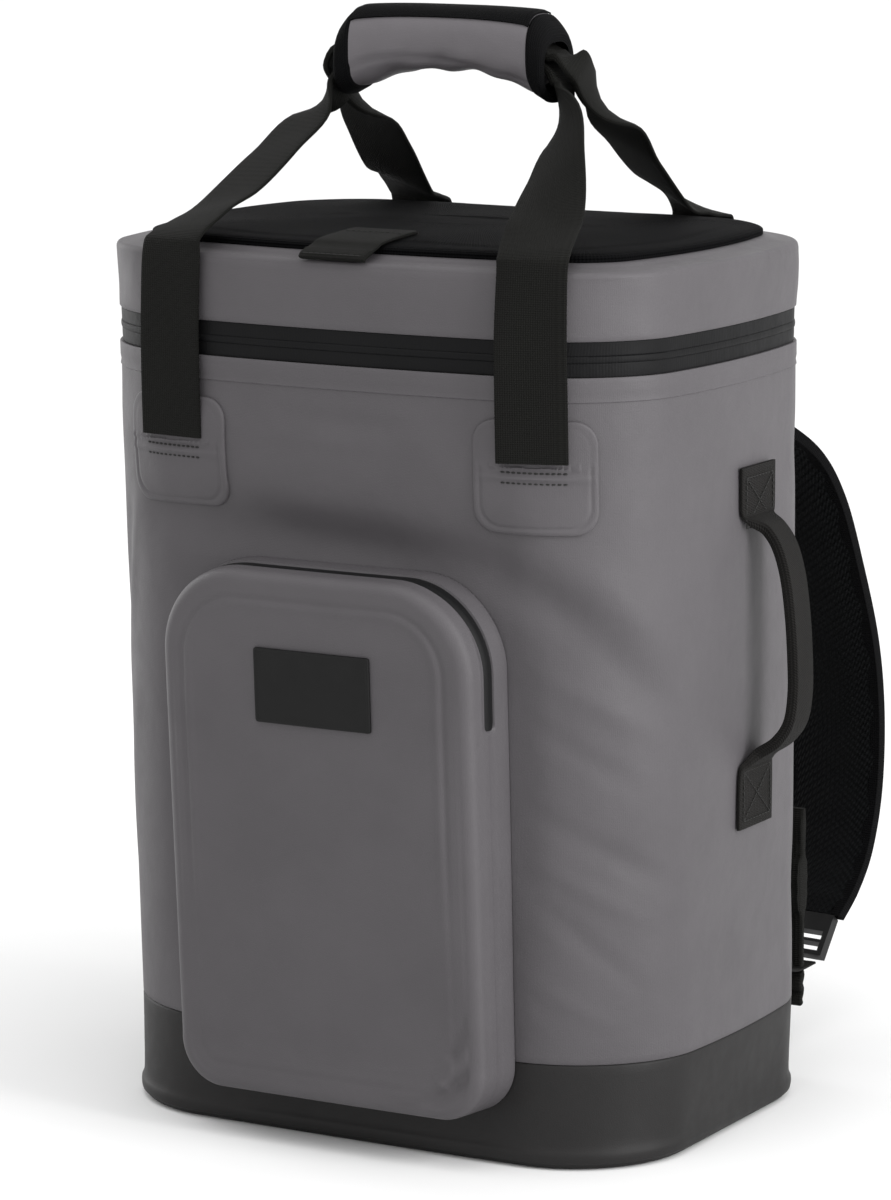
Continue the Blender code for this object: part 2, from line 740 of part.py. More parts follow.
def grip_ring(x, grow):
    """The grip's section at x, grown outwards by grow."""
    share = abs(2 * x / GRIP_LENGTH)
    line = GRIP_TOP - GRIP_BOW * share ** 3
    bottom = line - lerp(GRIP_TALL_MIDDLE, GRIP_TALL_END, share ** 2.2)
    top = line - GRIP_SHOULDER * max((share - 0.8) / 0.2, 0.0) ** 2
    ring = []
    for i in range(16):
        turn = math.radians(360 * i / 16)
        y = math.copysign(abs(math.cos(turn)) ** 0.75, math.cos(turn))
        z = math.copysign(abs(math.sin(turn)) ** 0.75, math.sin(turn))
        ring.append(Vector((
            x,
            GRIP_MIDDLE + y * (GRIP_DEPTH / 2 + grow),
            (top + bottom) / 2 + z * ((top - bottom) / 2 + grow),
        )))
    return ring


def sleeve(name, start, end, steps, grow, slot):
    """A stretch of the grip from x start to x end, as a tube with a wall."""
    places = [lerp(start, end, i / steps) for i in range(steps + 1)]
    outer = [grip_ring(x, grow) for x in places]
    inner = [grip_ring(x, -GRIP_WALL) for x in reversed(places)]
    loft(name, outer + inner, slot, closed=True)


def grip():
    """The wrapped grip, with its bound ends and its bound top edge."""
    inside = GRIP_LENGTH / 2 - BINDING_WIDTH
    binding = material("binding", WEB_BLACK, 0.75)
    sleeve("grip", -inside, inside, 6, 0.0, coated())
    sleeve("grip_end_right", inside + GAP, GRIP_LENGTH / 2, 2, BINDING_RAISE, binding)
    sleeve("grip_end_left", -GRIP_LENGTH / 2, -inside - GAP, 2, BINDING_RAISE, binding)
    path = []
    hints = []
    for i in range(9):
        x = lerp(-inside + GAP, inside - GAP, i / 8)
        ring = grip_ring(x, GAP + BINDING_RAISE)
        top = max(p.z for p in ring)
        path.append(Vector((x, GRIP_MIDDLE, top)))
        hints.append(Vector((0.0, 1.0, 0.0)))
    rings = ribbon_rings(path, hints, [BINDING_WIDTH] * 9, [BINDING_RAISE * 2] * 9)
    loft("grip_top_binding", rings, binding)


def pocket_edge(share, inset):
    """The pocket's outline in x and z. Share runs from its foot to its panel."""
    taper = POCKET_TAPER * share + inset
    half = POCKET_WIDTH / 2 - taper
    top = POCKET_TOP - taper * 0.3 - inset * 0.7
    bottom = POCKET_BOTTOM + inset
    top_round = max(POCKET_TOP_CORNER - inset, 0.2 * POCKET_TOP_CORNER)
    bottom_round = max(POCKET_BOTTOM_CORNER - inset, 0.2 * POCKET_BOTTOM_CORNER)
    points = []
    corners = (
        (half - bottom_round, bottom + bottom_round, -90, bottom_round),
        (half - top_round, top - top_round, 0, top_round),
        (-half + top_round, top - top_round, 90, top_round),
        (-half + bottom_round, bottom + bottom_round, 180, bottom_round),
    )
    for number, (x, z, start, radius) in enumerate(corners):
        for i in range(6):
            turn = math.radians(start + 90 * i / 5)
            points.append((x + radius * math.cos(turn), z + radius * math.sin(turn)))
        if number == 0:
            points += slot_stops(half, bottom + bottom_round)
        if number == 1:
            points += [(lerp(x, -x, s), top) for s in (0.25, 0.5, 0.75)]
        if number == 3:
            points += [(lerp(x, -x, s), bottom) for s in (0.25, 0.5, 0.75)]
        if number == 2:
            points += list(reversed(slot_stops(-half, bottom + bottom_round)))
    return points


def slot_stops(x, low):
    """Points up a straight side of the pocket, with two close ones at the slot's end."""
    stop = SLOT_END_HEIGHT
    return [(x, lerp(low, stop, 0.5)), (x, stop - SLOT_WIDTH / 2), (x, stop)]


def pocket_point(x, z, share, out=0.0):
    """A point of the pocket between the tub's front and the pocket's panel."""
    foot = front_y(x, z) - GAP
    along = (z - POCKET_BOTTOM) / (POCKET_TOP - POCKET_BOTTOM)
    depth = lerp(POCKET_DEPTH_BOTTOM, POCKET_DEPTH, along)
    return Vector((x, foot - depth * share - out, z))


def pocket():
    """The pocket: side walls, panel, a groove for its zip, open towards the tub."""
    slot_half = SLOT_WIDTH / 2 / POCKET_DEPTH
    middle = 0.50
    rows = (
        # share of depth, inset of the wall, groove
        (0.00, 0.0, 0.0),
        (middle - slot_half - 0.02, 0.0, 0.0),
        (middle - slot_half, 0.0, 1.0),
        (middle + slot_half, 0.0, 1.0),
        (middle + slot_half + 0.02, 0.0, 0.0),
        (1.0 - POCKET_EDGE / POCKET_DEPTH, 0.0, 0.0),
        (1.0 - POCKET_EDGE * 0.3 / POCKET_DEPTH, POCKET_EDGE * 0.3, 0.0),
        (1.0, POCKET_EDGE, 0.0),
    )
    rings = []
    for share, inset, groove in rows:
        ring = []
        wall = pocket_edge(share, inset)
        sunk = pocket_edge(share, inset + SLOT_DEPTH + GAP)
        for (x, z), (sunk_x, sunk_z) in zip(wall, sunk):
            if groove and z > SLOT_END_HEIGHT - SLOT_WIDTH / 4:
                x, z = sunk_x, sunk_z
            ring.append(pocket_point(x, z, share))
        rings.append(ring)
    spread = (POCKET_EDGE * 6, POCKET_EDGE * 11.5)
    for inset in spread:
        rings.append([pocket_point(x, z, 1.0) for x, z in pocket_edge(1.0, inset)])
    thick = POCKET_WALL / POCKET_DEPTH
    for inset in spread:
        ring = pocket_edge(1.0, inset)
        rings.insert(0, [pocket_point(x, z, 1.0 - thick) for x, z in ring])
    inside = (
        (1.0 - thick, POCKET_EDGE + POCKET_WALL * 0.5),
        (1.0 - POCKET_EDGE / POCKET_DEPTH - thick, POCKET_WALL + SLOT_DEPTH),
        (0.0, POCKET_WALL + SLOT_DEPTH),
    )
    for position, (share, inset) in enumerate(inside):
        ring = [pocket_point(x, z, share) for x, z in pocket_edge(share, inset)]
        rings.insert(2 + position, ring)
    loft("front_pocket", rings, coated())


def pocket_zip():
    """The pocket's zip, a strip in the groove over the top and part way down."""
    middle = 0.50
    half = SLOT_WIDTH / 2 / POCKET_DEPTH - GAP / POCKET_DEPTH
    floor = SLOT_DEPTH
    face = SLOT_DEPTH * 0.35
    rings = []
    for place in range(len(pocket_edge(middle, 0.0))):
        corner_rows = (
            (middle - half, floor), (middle + half, floor),
            (middle + half, face), (middle - half, face),
        )
        ring = []
        for share, inset in corner_rows:
            x, z = pocket_edge(share, inset)[place]
            ring.append(pocket_point(x, z, share))
        if min(p.z for p in ring) > SLOT_END_HEIGHT - SLOT_WIDTH / 4:
            rings.append(ring)
    loft("pocket_zip", rings, material("zip_tape", ZIP_BLACK, 0.60))


def label():
    """The plain label on the pocket's panel."""
    half = LABEL_WIDTH / 2
    tall = LABEL_HEIGHT / 2
    edge = rounded_box(LABEL_OFF_CENTRE - half, LABEL_OFF_CENTRE + half,
                       LABEL_CENTRE - tall, LABEL_CENTRE + tall, LABEL_CORNER, 2)

    def place(u, v, out):
        return pocket_point(u, v, 1.0, out)

    plate("label", edge, place, GAP * 2, GAP * 2 + LABEL_THICK,
          material("label_rubber", HARD_BLACK, 0.55))


def side_handle(name, side):
    """A web folded into a handle, opened out flat into a patch at each end."""
    tall = SIDE_TOP - SIDE_BOTTOM
    patch = SIDE_PATCH / tall
    slim = SIDE_PATCH_THICK / 2 / SIDE_REACH
    rows = [(0.0, slim, 0.0), (patch * 0.45, slim, 0.0), (patch * 0.65, slim, 0.1)]
    rows += list(SIDE_RUN)
    rows += [(1 - patch * 0.80, slim, 0.1), (1 - patch * 0.45, slim, 0.0), (1.0, slim, 0.0)]
    path = []
    widths = []
    thicknesses = []
    for drop, out, share in smooth(rows, 2):
        share = min(max(share, 0.0), 1.0)
        z = SIDE_TOP - drop * tall
        thick = lerp(SIDE_PATCH_THICK, SIDE_WEB_THICK, share)
        away = max(out * SIDE_REACH, thick / 2)
        path.append(Vector((side * (side_x(SIDE_MIDDLE, z) + GAP * 2 + away), SIDE_MIDDLE, z)))
        widths.append(lerp(SIDE_PATCH, SIDE_WEB_WIDTH, share))
        thicknesses.append(thick)
    hints = [Vector((0.0, 1.0, 0.0))] * len(path)
    loft(name, ribbon_rings(path, hints, widths, thicknesses), webbing())


def pad_point(drop, out, spread):
    """A point on a shoulder strap's centre line, on the right."""
    x = lerp(PAD_INNER, PAD_SPREAD, spread)
    flat = YOKE_THICK + GAP * 4 + PAD_THICK / 2
    y = BODY_DEPTH / 2 + lerp(flat, PAD_REACH, out)
    z = lerp(PAD_TOP_HEIGHT, PAD_END_HEIGHT, drop)
    return Vector((x, y, z))


def shoulder_strap(end, side):
    """The padded strap, its buckle, its lower web and the web's loose tail."""
    path = []
    widths = []
    hints = []
    for drop, out, spread, wide in smooth(PAD_RUN, 2):
        point = pad_point(drop, max(out, 0.0), max(spread, 0.0))
        path.append(Vector((side * point.x, point.y, point.z)))
        widths.append(wide * PAD_WIDTH)
        hints.append(Vector((1.0, side * -PAD_TURN * max(spread, 0.0), 0.0)))
    count = len(path)
    rings = ribbon_rings(path, hints, widths, [PAD_THICK] * count,
                         PAD_EDGE / PAD_THICK, sheared=True)
    loft("shoulder_pad_" + end, rings, material("pad_mesh", MESH_BLACK, 0.90))
    lower_end(end, side, path[-1], (path[-1] - path[-2]).normalized(), hints[-1])


def lower_end(end, side, start, ahead, across):
    """Everything under a pad: the buckle, the lower web and the web's stowed tail."""
    across = across.normalized()
    lock_start = start + ahead * GAP * 2
    lock_end = lock_start + ahead * LOCK_LENGTH
    normal = ahead.cross(across).normalized()
    build_lock("strap_buckle_" + end, lock_start, ahead, across, normal)
    low = LOWER_ANCHOR_HEIGHT - LOWER_PATCH_HEIGHT / 2
    half = LOWER_PATCH_WIDTH / 2
    centre = side * LOWER_ANCHOR_OUT
    edge = rounded_box(centre - half, centre + half, low, low + LOWER_PATCH_HEIGHT,
                       half * 0.25, 2, 3)
    plate("lower_anchor_" + end, edge, back_skin, GAP * 2, GAP * 2 + LOWER_PATCH_THICK,
          coated(), shares=(0.15, 0.55))
    lie = GAP * 6 + LOWER_PATCH_THICK + LOWER_WEB_THICK / 2
    foot = back_skin(centre, low + LOWER_PATCH_HEIGHT * 0.90, lie)
    head = back_skin(centre, low + LOWER_PATCH_HEIGHT * 0.40, lie)
    beside = back_skin(centre + WALL * 0.1, head.z, lie)
    along = (beside - head).normalized() * (1 if beside.x > head.x else -1)
    reach = lock_end + ahead * (LOWER_WEB_THICK * 2 + GAP * 3)
    sag = Vector((0.0, 0.0, LOWER_WEB_THICK * 4))
    rows = [
        (*foot, *along), (*head, *along),
        (*(head.lerp(reach, 0.12) - sag), *along),
        (*(head.lerp(reach, 0.55) - sag), *across), (*reach, *across),
    ]
    rows = smooth(rows, 4)
    path = [Vector(row[:3]) for row in rows]
    count = len(path)
    rings = ribbon_rings(path, [Vector(row[3:]) for row in rows],
                         [LOWER_WEB_WIDTH] * count, [LOWER_WEB_THICK] * count)
    loft("lower_web_" + end, rings, webbing())
    stowed_tail(end, path)


def stowed_tail(end, path):
    """The folded tail of the lower web: a rolled bundle above it and two ends below."""
    place = path[0].y + (path[-1].y - path[0].y) * TAIL_ALONG
    near = min(range(len(path) - 1), key=lambda i: abs(path[i].y - place))
    share = (place - path[near].y) / (path[near + 1].y - path[near].y)
    level = path[near].lerp(path[near + 1], share)
    clear = LOWER_WEB_THICK / 2 + GAP
    slope = abs((path[near + 1].z - path[near].z) / (path[near + 1].y - path[near].y))
    across = Vector((1.0, 0.0, 0.0))
    start = level.z + clear + slope * BUNDLE_THICK * BUNDLE[-1][1] / 2 + GAP
    rows = smooth([(drop, thick) for drop, thick in BUNDLE], 2)
    points = [Vector((level.x, place, lerp(BUNDLE_TOP, start, drop))) for drop, _ in rows]
    thicknesses = [thick * BUNDLE_THICK for _, thick in rows]
    count = len(points)
    rings = ribbon_rings(points, [across] * count, [LOWER_WEB_WIDTH] * count, thicknesses)
    loft("tail_bundle_" + end, rings, webbing())
    thick = LOWER_WEB_THICK * 3
    under = level.z - clear - slope * thick / 2 - GAP
    stops = (under, lerp(under, TAIL_END_HEIGHT, 0.6), TAIL_END_HEIGHT)
    points = [Vector((level.x, place, z)) for z in stops]
    rings = ribbon_rings(points, [across] * 3, [LOWER_WEB_WIDTH] * 3,
                         [thick, thick, thick * 0.5])
    loft("tail_end_" + end, rings, webbing())


def build_lock(name, start, ahead, across, normal):
    """A ladder buckle: a flat frame with two slots for the webs."""
    rim = LOCK_SLOT * 0.55
    inner = LOWER_WEB_WIDTH / 2 + GAP * 4

    def corner(along, aside, up):
        return start + ahead * along + across * aside + normal * up

    outer = LOCK_WIDTH / 2
    first = LOCK_LENGTH * 0.42
    vertices = []
    stops = (0.0, first, first + LOCK_SLOT, LOCK_LENGTH - rim - LOCK_SLOT,
             LOCK_LENGTH - rim, LOCK_LENGTH)
    sides = (-outer, -inner, inner, outer)
    index = {}
    for up in (-LOCK_THICK / 2, LOCK_THICK / 2):
        for a in stops:
            for s in sides:
                index[(up > 0, a, s)] = len(vertices)
                vertices.append(corner(a, s, up))
    holes = {(1, 1), (3, 1)}
    faces = []
    cells = [(i, j) for i in range(len(stops) - 1) for j in range(len(sides) - 1)]
    for i, j in cells:
        if (i, j) in holes:
            continue
        for upper in (False, True):
            faces.append(tuple(
                index[(upper, stops[a], sides[b])]
                for a, b in ((i, j), (i + 1, j), (i + 1, j + 1), (i, j + 1))
            ))
        for (di, dj, a, b) in ((-1, 0, (i, j), (i, j + 1)), (1, 0, (i + 1, j), (i + 1, j + 1)),
                               (0, -1, (i, j), (i + 1, j)), (0, 1, (i, j + 1), (i + 1, j + 1))):
            near = (i + di, j + dj)
            if near in cells and near not in holes:
                continue
            faces.append((
                index[(False, stops[a[0]], sides[a[1]])],
                index[(False, stops[b[0]], sides[b[1]])],
                index[(True, stops[b[0]], sides[b[1]])],
                index[(True, stops[a[0]], sides[a[1]])],
            ))
    make(name, vertices, faces, material("hard_black", HARD_BLACK, 0.45))


def yoke():
    """The patch high on the back from which both shoulder straps spring."""
    half = YOKE_WIDTH / 2
    edge = rounded_box(-half, half, PAD_TOP_HEIGHT - YOKE_HEIGHT / 2,
                       PAD_TOP_HEIGHT + YOKE_HEIGHT / 2, YOKE_HEIGHT * 0.2, 2)
    plate("strap_yoke", edge, back_skin, GAP, GAP + YOKE_THICK, webbing())


def build():
    """Clear the scene and build every piece."""
    for old in list(bpy.data.objects):
        bpy.data.objects.remove(old, do_unlink=True)
    boot()
    tub()
    zip_band()
    lid()
    top_panel()
    lid_tab()
    anchors()
    carrying_web("handle_web_front", True)
    carrying_web("handle_web_back", False)
    grip()
    pocket()
    pocket_zip()
    label()
    side_handle("side_handle_right", 1)
    side_handle("side_handle_left", -1)
    yoke()
    shoulder_strap("right", 1)
    shoulder_strap("left", -1)


build()
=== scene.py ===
"""Looks of the cooler backpack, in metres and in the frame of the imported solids. The
front faces -Y. Sizes and tables are those of the solids."""

import math

import bpy
import numpy as np
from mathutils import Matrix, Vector


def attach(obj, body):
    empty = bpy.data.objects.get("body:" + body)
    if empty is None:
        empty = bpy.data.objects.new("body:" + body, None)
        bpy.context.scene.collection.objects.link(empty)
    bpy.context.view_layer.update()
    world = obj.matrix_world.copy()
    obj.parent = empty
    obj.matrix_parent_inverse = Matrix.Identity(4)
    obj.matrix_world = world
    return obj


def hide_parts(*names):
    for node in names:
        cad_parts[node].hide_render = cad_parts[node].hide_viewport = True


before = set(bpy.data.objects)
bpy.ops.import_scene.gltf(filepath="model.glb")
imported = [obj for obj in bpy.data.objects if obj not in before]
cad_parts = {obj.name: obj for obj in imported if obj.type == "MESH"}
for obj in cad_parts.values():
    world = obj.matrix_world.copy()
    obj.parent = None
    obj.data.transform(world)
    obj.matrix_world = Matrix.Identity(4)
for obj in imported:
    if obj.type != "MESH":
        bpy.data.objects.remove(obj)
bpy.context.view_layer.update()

# Whole body
BODY_HEIGHT = 0.457        # floor to the lid's front ridge
BODY_WIDTH = 0.332         # across the sides at their fullest
BODY_DEPTH = 0.2256        # back to front at the foot
BACK_CORNER = 0.056        # radius of the two back corners
WALL = 0.020               # padded wall of the tub and the lid
GAP = 0.0003               # clearance between neighbouring pieces

# Moulded boot under the tub
BOOT_HEIGHT = 0.054
BOOT_WALL = 0.0027
BOOT_FLOOR = 0.0030
BOOT_LIP = 0.0016          # how far the lip stands out
BOOT_LIP_HEIGHT = 0.009
BOOT_FOOT_IN = 0.0040      # the underside is this much smaller all round

# Zip round the tub's mouth
ZIP_DROP = 0.0428          # from the ridge down to its coil
ZIP_CENTRE = BODY_HEIGHT - ZIP_DROP
ZIP_BAND = 0.0172          # height of both tapes together
ZIP_THICK = 0.0024
ZIP_RECESS = 0.0008
COIL_WIDTH = 0.0036
WELD_BAND = 0.0120         # raised seam under the zip
WELD_RAISE = 0.0005

# Lid
LID_THICK = 0.024          # ridge down to the ceiling inside
RIM_WIDTH = 0.017          # grey rim round the top panel
RIM_RISE = 0.0030          # how much the rim climbs to the panel
RIDGE_ROUND = 0.0014
PANEL_EDGE = 0.0042        # height of the panel's side
PANEL_CROWN = 0.0028       # how much its middle rises above the edge
TAB_WIDTH = 0.038
TAB_LENGTH = 0.053
TAB_THICK = 0.0020
TAB_OFF_CENTRE = -0.001    # towards the left
TAB_OVERHANG = 0.001       # past the lid's ridge

# Carrying handle
WEB_WIDTH = 0.037
WEB_THICK = 0.0020
WEB_FOLDED = 0.020         # its width where it is folded inside the grip
FRONT_WEB_SPACING = 0.207  # between the two legs of the front web
FRONT_WEB_MIDDLE = 0.0060  # the front web sits this much towards +X
BACK_WEB_SPACING = 0.172
BACK_WEB_MIDDLE = -0.0060
WEB_END_DROP = 0.0940
WEB_END_HEIGHT = BODY_HEIGHT - WEB_END_DROP
ANCHOR_WIDTH = 0.064
ANCHOR_HEIGHT = 0.057
ANCHOR_DROP = 0.0730
ANCHOR_TOP = BODY_HEIGHT - ANCHOR_DROP
ANCHOR_CORNER = 0.012
ANCHOR_THICK = 0.0015
GRIP_LENGTH = 0.122
GRIP_RISE = 0.1200
GRIP_TOP = BODY_HEIGHT + GRIP_RISE
GRIP_DEPTH = 0.036
GRIP_MIDDLE = -0.012       # the grip's place from front to back
GRIP_WALL = 0.0040
GRIP_TALL_END = 0.045
GRIP_TALL_MIDDLE = 0.032
GRIP_BOW = 0.0020          # the ends droop this much
GRIP_SHOULDER = 0.0100     # how far the top falls round its two upper corners
GRIP_EXIT_FRONT = 0.0040   # how far the front web clears the grip's end
GRIP_EXIT_BACK = 0.0110    # the same for the back web, which bends over outside it
BINDING_WIDTH = 0.009
BINDING_RAISE = 0.0007

# Front pocket
POCKET_WIDTH = 0.188       # across its foot on the tub
POCKET_DROP = 0.1530
POCKET_TOP = BODY_HEIGHT - POCKET_DROP
POCKET_BOTTOM = 0.0265
POCKET_DEPTH = 0.0335      # at its top
POCKET_DEPTH_BOTTOM = 0.0285
POCKET_TAPER = 0.0050      # each side leans in this much to the panel
POCKET_TOP_CORNER = 0.046
POCKET_BOTTOM_CORNER = 0.025
POCKET_WALL = 0.0024
POCKET_EDGE = 0.0060       # radius of the panel's edge
SLOT_WIDTH = 0.0094        # pocket zip
SLOT_DEPTH = 0.0012
SLOT_REACH = 0.0760
SLOT_END_HEIGHT = POCKET_TOP - SLOT_REACH
LABEL_WIDTH = 0.067
LABEL_HEIGHT = 0.0385
LABEL_DROP = 0.0590
LABEL_CENTRE = POCKET_TOP - LABEL_DROP
LABEL_OFF_CENTRE = 0.0020
LABEL_THICK = 0.0012
LABEL_CORNER = 0.0015

# Side handles
SIDE_DROP = 0.1075
SIDE_TALL = 0.1875         # over both patches
SIDE_TOP = BODY_HEIGHT - SIDE_DROP
SIDE_BOTTOM = SIDE_TOP - SIDE_TALL
SIDE_PATCH = 0.038         # width and height of a patch
SIDE_MIDDLE = 0.008        # the handle's place from front to back
SIDE_WEB_WIDTH = 0.019
SIDE_WEB_THICK = 0.0060
SIDE_PATCH_THICK = 0.0022
SIDE_REACH = 0.0290        # how far the handle stands out from the side

# Shoulder straps
PAD_WIDTH = 0.060
PAD_THICK = 0.011
PAD_EDGE = 0.0045          # thickness at the bound edge
PAD_DROP = 0.0890
PAD_TOP_HEIGHT = BODY_HEIGHT - PAD_DROP
PAD_REACH = 0.1235         # how far the strap stands out behind the back
PAD_SPREAD = 0.105         # centre of the strap, from the middle of the back
PAD_INNER = 0.024          # the same at its top anchor
PAD_END_HEIGHT = 0.066
PAD_TURN = 0.12            # how far its outer edge turns towards the back
YOKE_WIDTH = 0.092         # patch that holds both straps' tops
YOKE_HEIGHT = 0.032
YOKE_THICK = 0.0030
LOCK_LENGTH = 0.026
LOWER_WEB_WIDTH = 0.025
LOWER_WEB_THICK = 0.0016
LOWER_ANCHOR_HEIGHT = 0.070
LOWER_ANCHOR_OUT = 0.118   # place of the lower anchors from the middle
LOWER_PATCH_WIDTH = 0.040
LOWER_PATCH_HEIGHT = 0.032
LOWER_PATCH_THICK = 0.0015
TAIL_END_HEIGHT = 0.026
TAIL_ALONG = 0.66          # the tail's place, as a share of the lower web's reach
BUNDLE_TOP = 0.136
BUNDLE_THICK = 0.013

# Steps of the shown shapes, finer than those of the solids
FRONT_STEPS = 24           # along half the body's front
CORNER_STEPS = 30          # round each of its corners
SIDE_STEPS = 24
BACK_STEPS = 12
GRIP_POINTS = 48           # round the grip
POCKET_STEPS = (24, 156, 36)  # in each corner, up each side, along the top and foot
PANEL_STEPS = 17           # rings of the pocket's panel beside its edge
PANEL_STEP = 0.0011        # from one of them to the next
MIDDLE_STEPS = 45          # rings from there to its middle
SOLID_PAD_STEPS = 2        # steps a row of the solid pad, whose end holds the buckle
PLATE_STEPS = 60           # rings of a patch from its edge to its middle
LEAST_ROUND = 0.2          # share of its radius that a corner keeps when moved in

# Relief that only shows here
MM = 0.001
FOLD_REACH = 3             # a fold ends this many of its widths away
FOLD_ENDS = 0.35           # share of its rise left at both its ends
FOLD_FADE_LOW = 0.030      # height over which folds die away above the boot
FOLD_FADE_HIGH = 0.020     # the same below the weld
LID_FADE = 0.010           # the same at both edges of the lid's side
LID_HEM = 0.0006           # the lid's lower edge turns in by this
SEAM_DEPTH = 0.0007        # seams of the lid's rim and the top panel
ZIP_GROOVE = 0.0002
COIL_RISE = 0.0005
GRIP_CRUMPLE = 0.0012
GRIP_ROUNDING = 0.0009     # how far the end bindings fall at their edges
SLOT_MIDDLE = 0.50         # the groove's place on the pocket's wall, as a share
SLOT_RAMP = 0.0020         # height over which it reaches its depth
PANEL_RAMP = 0.012         # width over which the panel's folds grow from its edge
POCKET_CENTRE = (POCKET_BOTTOM + POCKET_TOP) / 2
WELD_PLACE = 0.0135        # the panel's inner weld line, in from the pocket's edge
WELD_DEPTH = 0.0007
WELD_RIDGE_PLACE = 0.0170  # the soft ridge inside that line
WELD_RIDGE = 0.0006
WELD_LOW = 0.10            # the weld line grows from this height
WELD_RAMP = 0.08           # to its full depth over this much
PRESSED_PLACE = 0.86       # the line beside a patch's edge, as a share of its outline
PRESSED_WIDTH = 0.03
PUFF_DROP = 0.022          # middle of an anchor's soft swelling, below the web's end
PUFF_RISE = 0.0009
PUFF_HEIGHT = 0.012
SEWN_DROPS = (0.0022, 0.0076)  # ridges of an anchor below the web's end
SEWN_RISE = 0.0017
SEWN_WIDTH = 0.0014
STITCH_DROPS = (0.0049, 0.0102)
STITCH_LIFT = 0.0002       # a stitch's middle above its cloth

# A patch's edge, from its foot up and in. Size is a share of its outline, rise a
# share of its thickness.
PLATE_EDGE = (
    # size, rise
    (0.500, 0.00),
    (1.000, 0.00),
    (1.000, 0.35),
    (0.997, 0.72),
    (0.985, 0.93),
    (0.965, 1.00),
)

# The body's section. Height is a share of BODY_HEIGHT. Width, side bow and front
# corner are shares of BODY_WIDTH. Front and front bow are shares of BODY_DEPTH.
SECTIONS = (
    # height, width, front, side bow, front bow, front corner
    (0.000, 0.952, 0.500, 0.000, 0.017, 0.183),
    (0.118, 0.930, 0.501, 0.031, 0.005, 0.190),
    (0.520, 0.915, 0.521, 0.041, 0.034, 0.166),
    (0.907, 0.902, 0.540, 0.046, 0.052, 0.145),
    (1.000, 0.904, 0.521, 0.049, 0.063, 0.110),
)

# The top panel's profile. Inset is a share of RIM_WIDTH from its edge, edge a share
# of PANEL_EDGE and crown a share of PANEL_CROWN.
PANEL_SHAPE = (
    # inset, edge, crown
    (0.00, 0.00, 0.00),
    (0.00, 0.55, 0.00),
    (0.12, 0.88, 0.00),
    (0.40, 1.00, 0.08),
    (1.60, 1.00, 0.55),
    (5.20, 1.00, 1.00),
)

# The legs of the carrying webs above the ridge, from the ridge to the grip's end.
# Along, in and lift are shares of the way between them, and wide is a share of the
# change from the folded to the full width. Right and left say how far the +X edge of
# each leg has turned back, in degrees.
FRONT_LEG = (
    # along, in, lift, wide, right, left
    (0.03, 0.02, 0.10, 1.00, 15, -14),
    (0.17, 0.14, 0.20, 1.00, 18, -17),
    (0.37, 0.31, 0.33, 1.00, 17, -18),
    (0.61, 0.55, 0.57, 1.00, -2, -20),
    (0.83, 0.77, 0.80, 0.80, -22, -24),
    (0.95, 0.95, 0.93, 0.15, -80, -74),
)
BACK_LEG = (
    # along, in, lift, wide, right, left
    (0.03, 0.04, 0.09, 1.00, -8, 6),
    (0.16, 0.20, 0.165, 1.00, -13, 5),
    (0.33, 0.43, 0.25, 1.00, -17, 5),
    (0.54, 0.70, 0.47, 1.00, -16, 3),
    (0.73, 0.88, 0.69, 0.85, -14, -10),
    (0.91, 1.00, 0.88, 0.15, -78, -78),
)

# Side handle between its patches. Drop is a share of the height between the
# patches' outer edges, out a share of SIDE_REACH, slim a share of the change from
# the patch's section to the handle's.
SIDE_RUN = (
    # drop, out, slim
    (0.150, 0.12, 0.55),
    (0.172, 0.36, 1.00),
    (0.220, 0.58, 1.00),
    (0.300, 0.74, 1.00),
    (0.410, 0.84, 1.00),
    (0.520, 0.89, 1.00),
    (0.620, 0.90, 1.00),
    (0.700, 0.82, 1.00),
    (0.755, 0.58, 1.00),
    (0.790, 0.26, 1.00),
    (0.815, 0.12, 0.55),
)

# Shoulder pad, top to bottom. Drop is a share of the height from its top to its
# end, out a share of PAD_REACH, spread a share of the way from PAD_INNER to
# PAD_SPREAD, wide a share of PAD_WIDTH.
PAD_RUN = (
    # drop, out, spread, wide
    (0.060, 0.000, 0.00, 0.66),
    (0.030, 0.000, 0.00, 0.70),
    (0.004, 0.045, 0.06, 0.74),
    (0.000, 0.140, 0.24, 0.80),
    (0.022, 0.240, 0.45, 0.88),
    (0.066, 0.330, 0.66, 0.95),
    (0.130, 0.530, 0.81, 1.00),
    (0.215, 0.655, 0.91, 1.00),
    (0.340, 0.773, 0.97, 1.00),
    (0.490, 0.920, 1.00, 1.00),
    (0.630, 1.000, 1.00, 1.00),
    (0.770, 0.998, 1.00, 0.98),
    (0.880, 0.940, 1.00, 0.90),
    (0.950, 0.850, 1.00, 0.78),
    (1.000, 0.740, 1.00, 0.64),
)

# Rolled tail above the lower web, top to bottom. Drop is a share of its height,
# thick a share of BUNDLE_THICK.
BUNDLE = (
    # drop, thick
    (0.00, 0.25),
    (0.10, 0.50),
    (0.28, 0.42),
    (0.36, 0.95),
    (0.50, 1.00),
    (0.62, 0.90),
    (0.70, 0.36),
    (1.00, 0.34),
)


def lerp(start, end, share):
    """The value that lies this share of the way from start to end."""
    return start + (end - start) * share


def straight(start, end, steps):
    """Points from start to end in even steps, without the end."""
    return [(lerp(start[0], end[0], i / steps), lerp(start[1], end[1], i / steps))
            for i in range(steps)]


def quarter(u, v, radius, start, steps):
    """Points a quarter turn round a corner from start in degrees, without the last."""
    turns = [math.radians(start + 90 * i / steps) for i in range(steps)]
    return [(u + radius * math.cos(turn), v + radius * math.sin(turn)) for turn in turns]


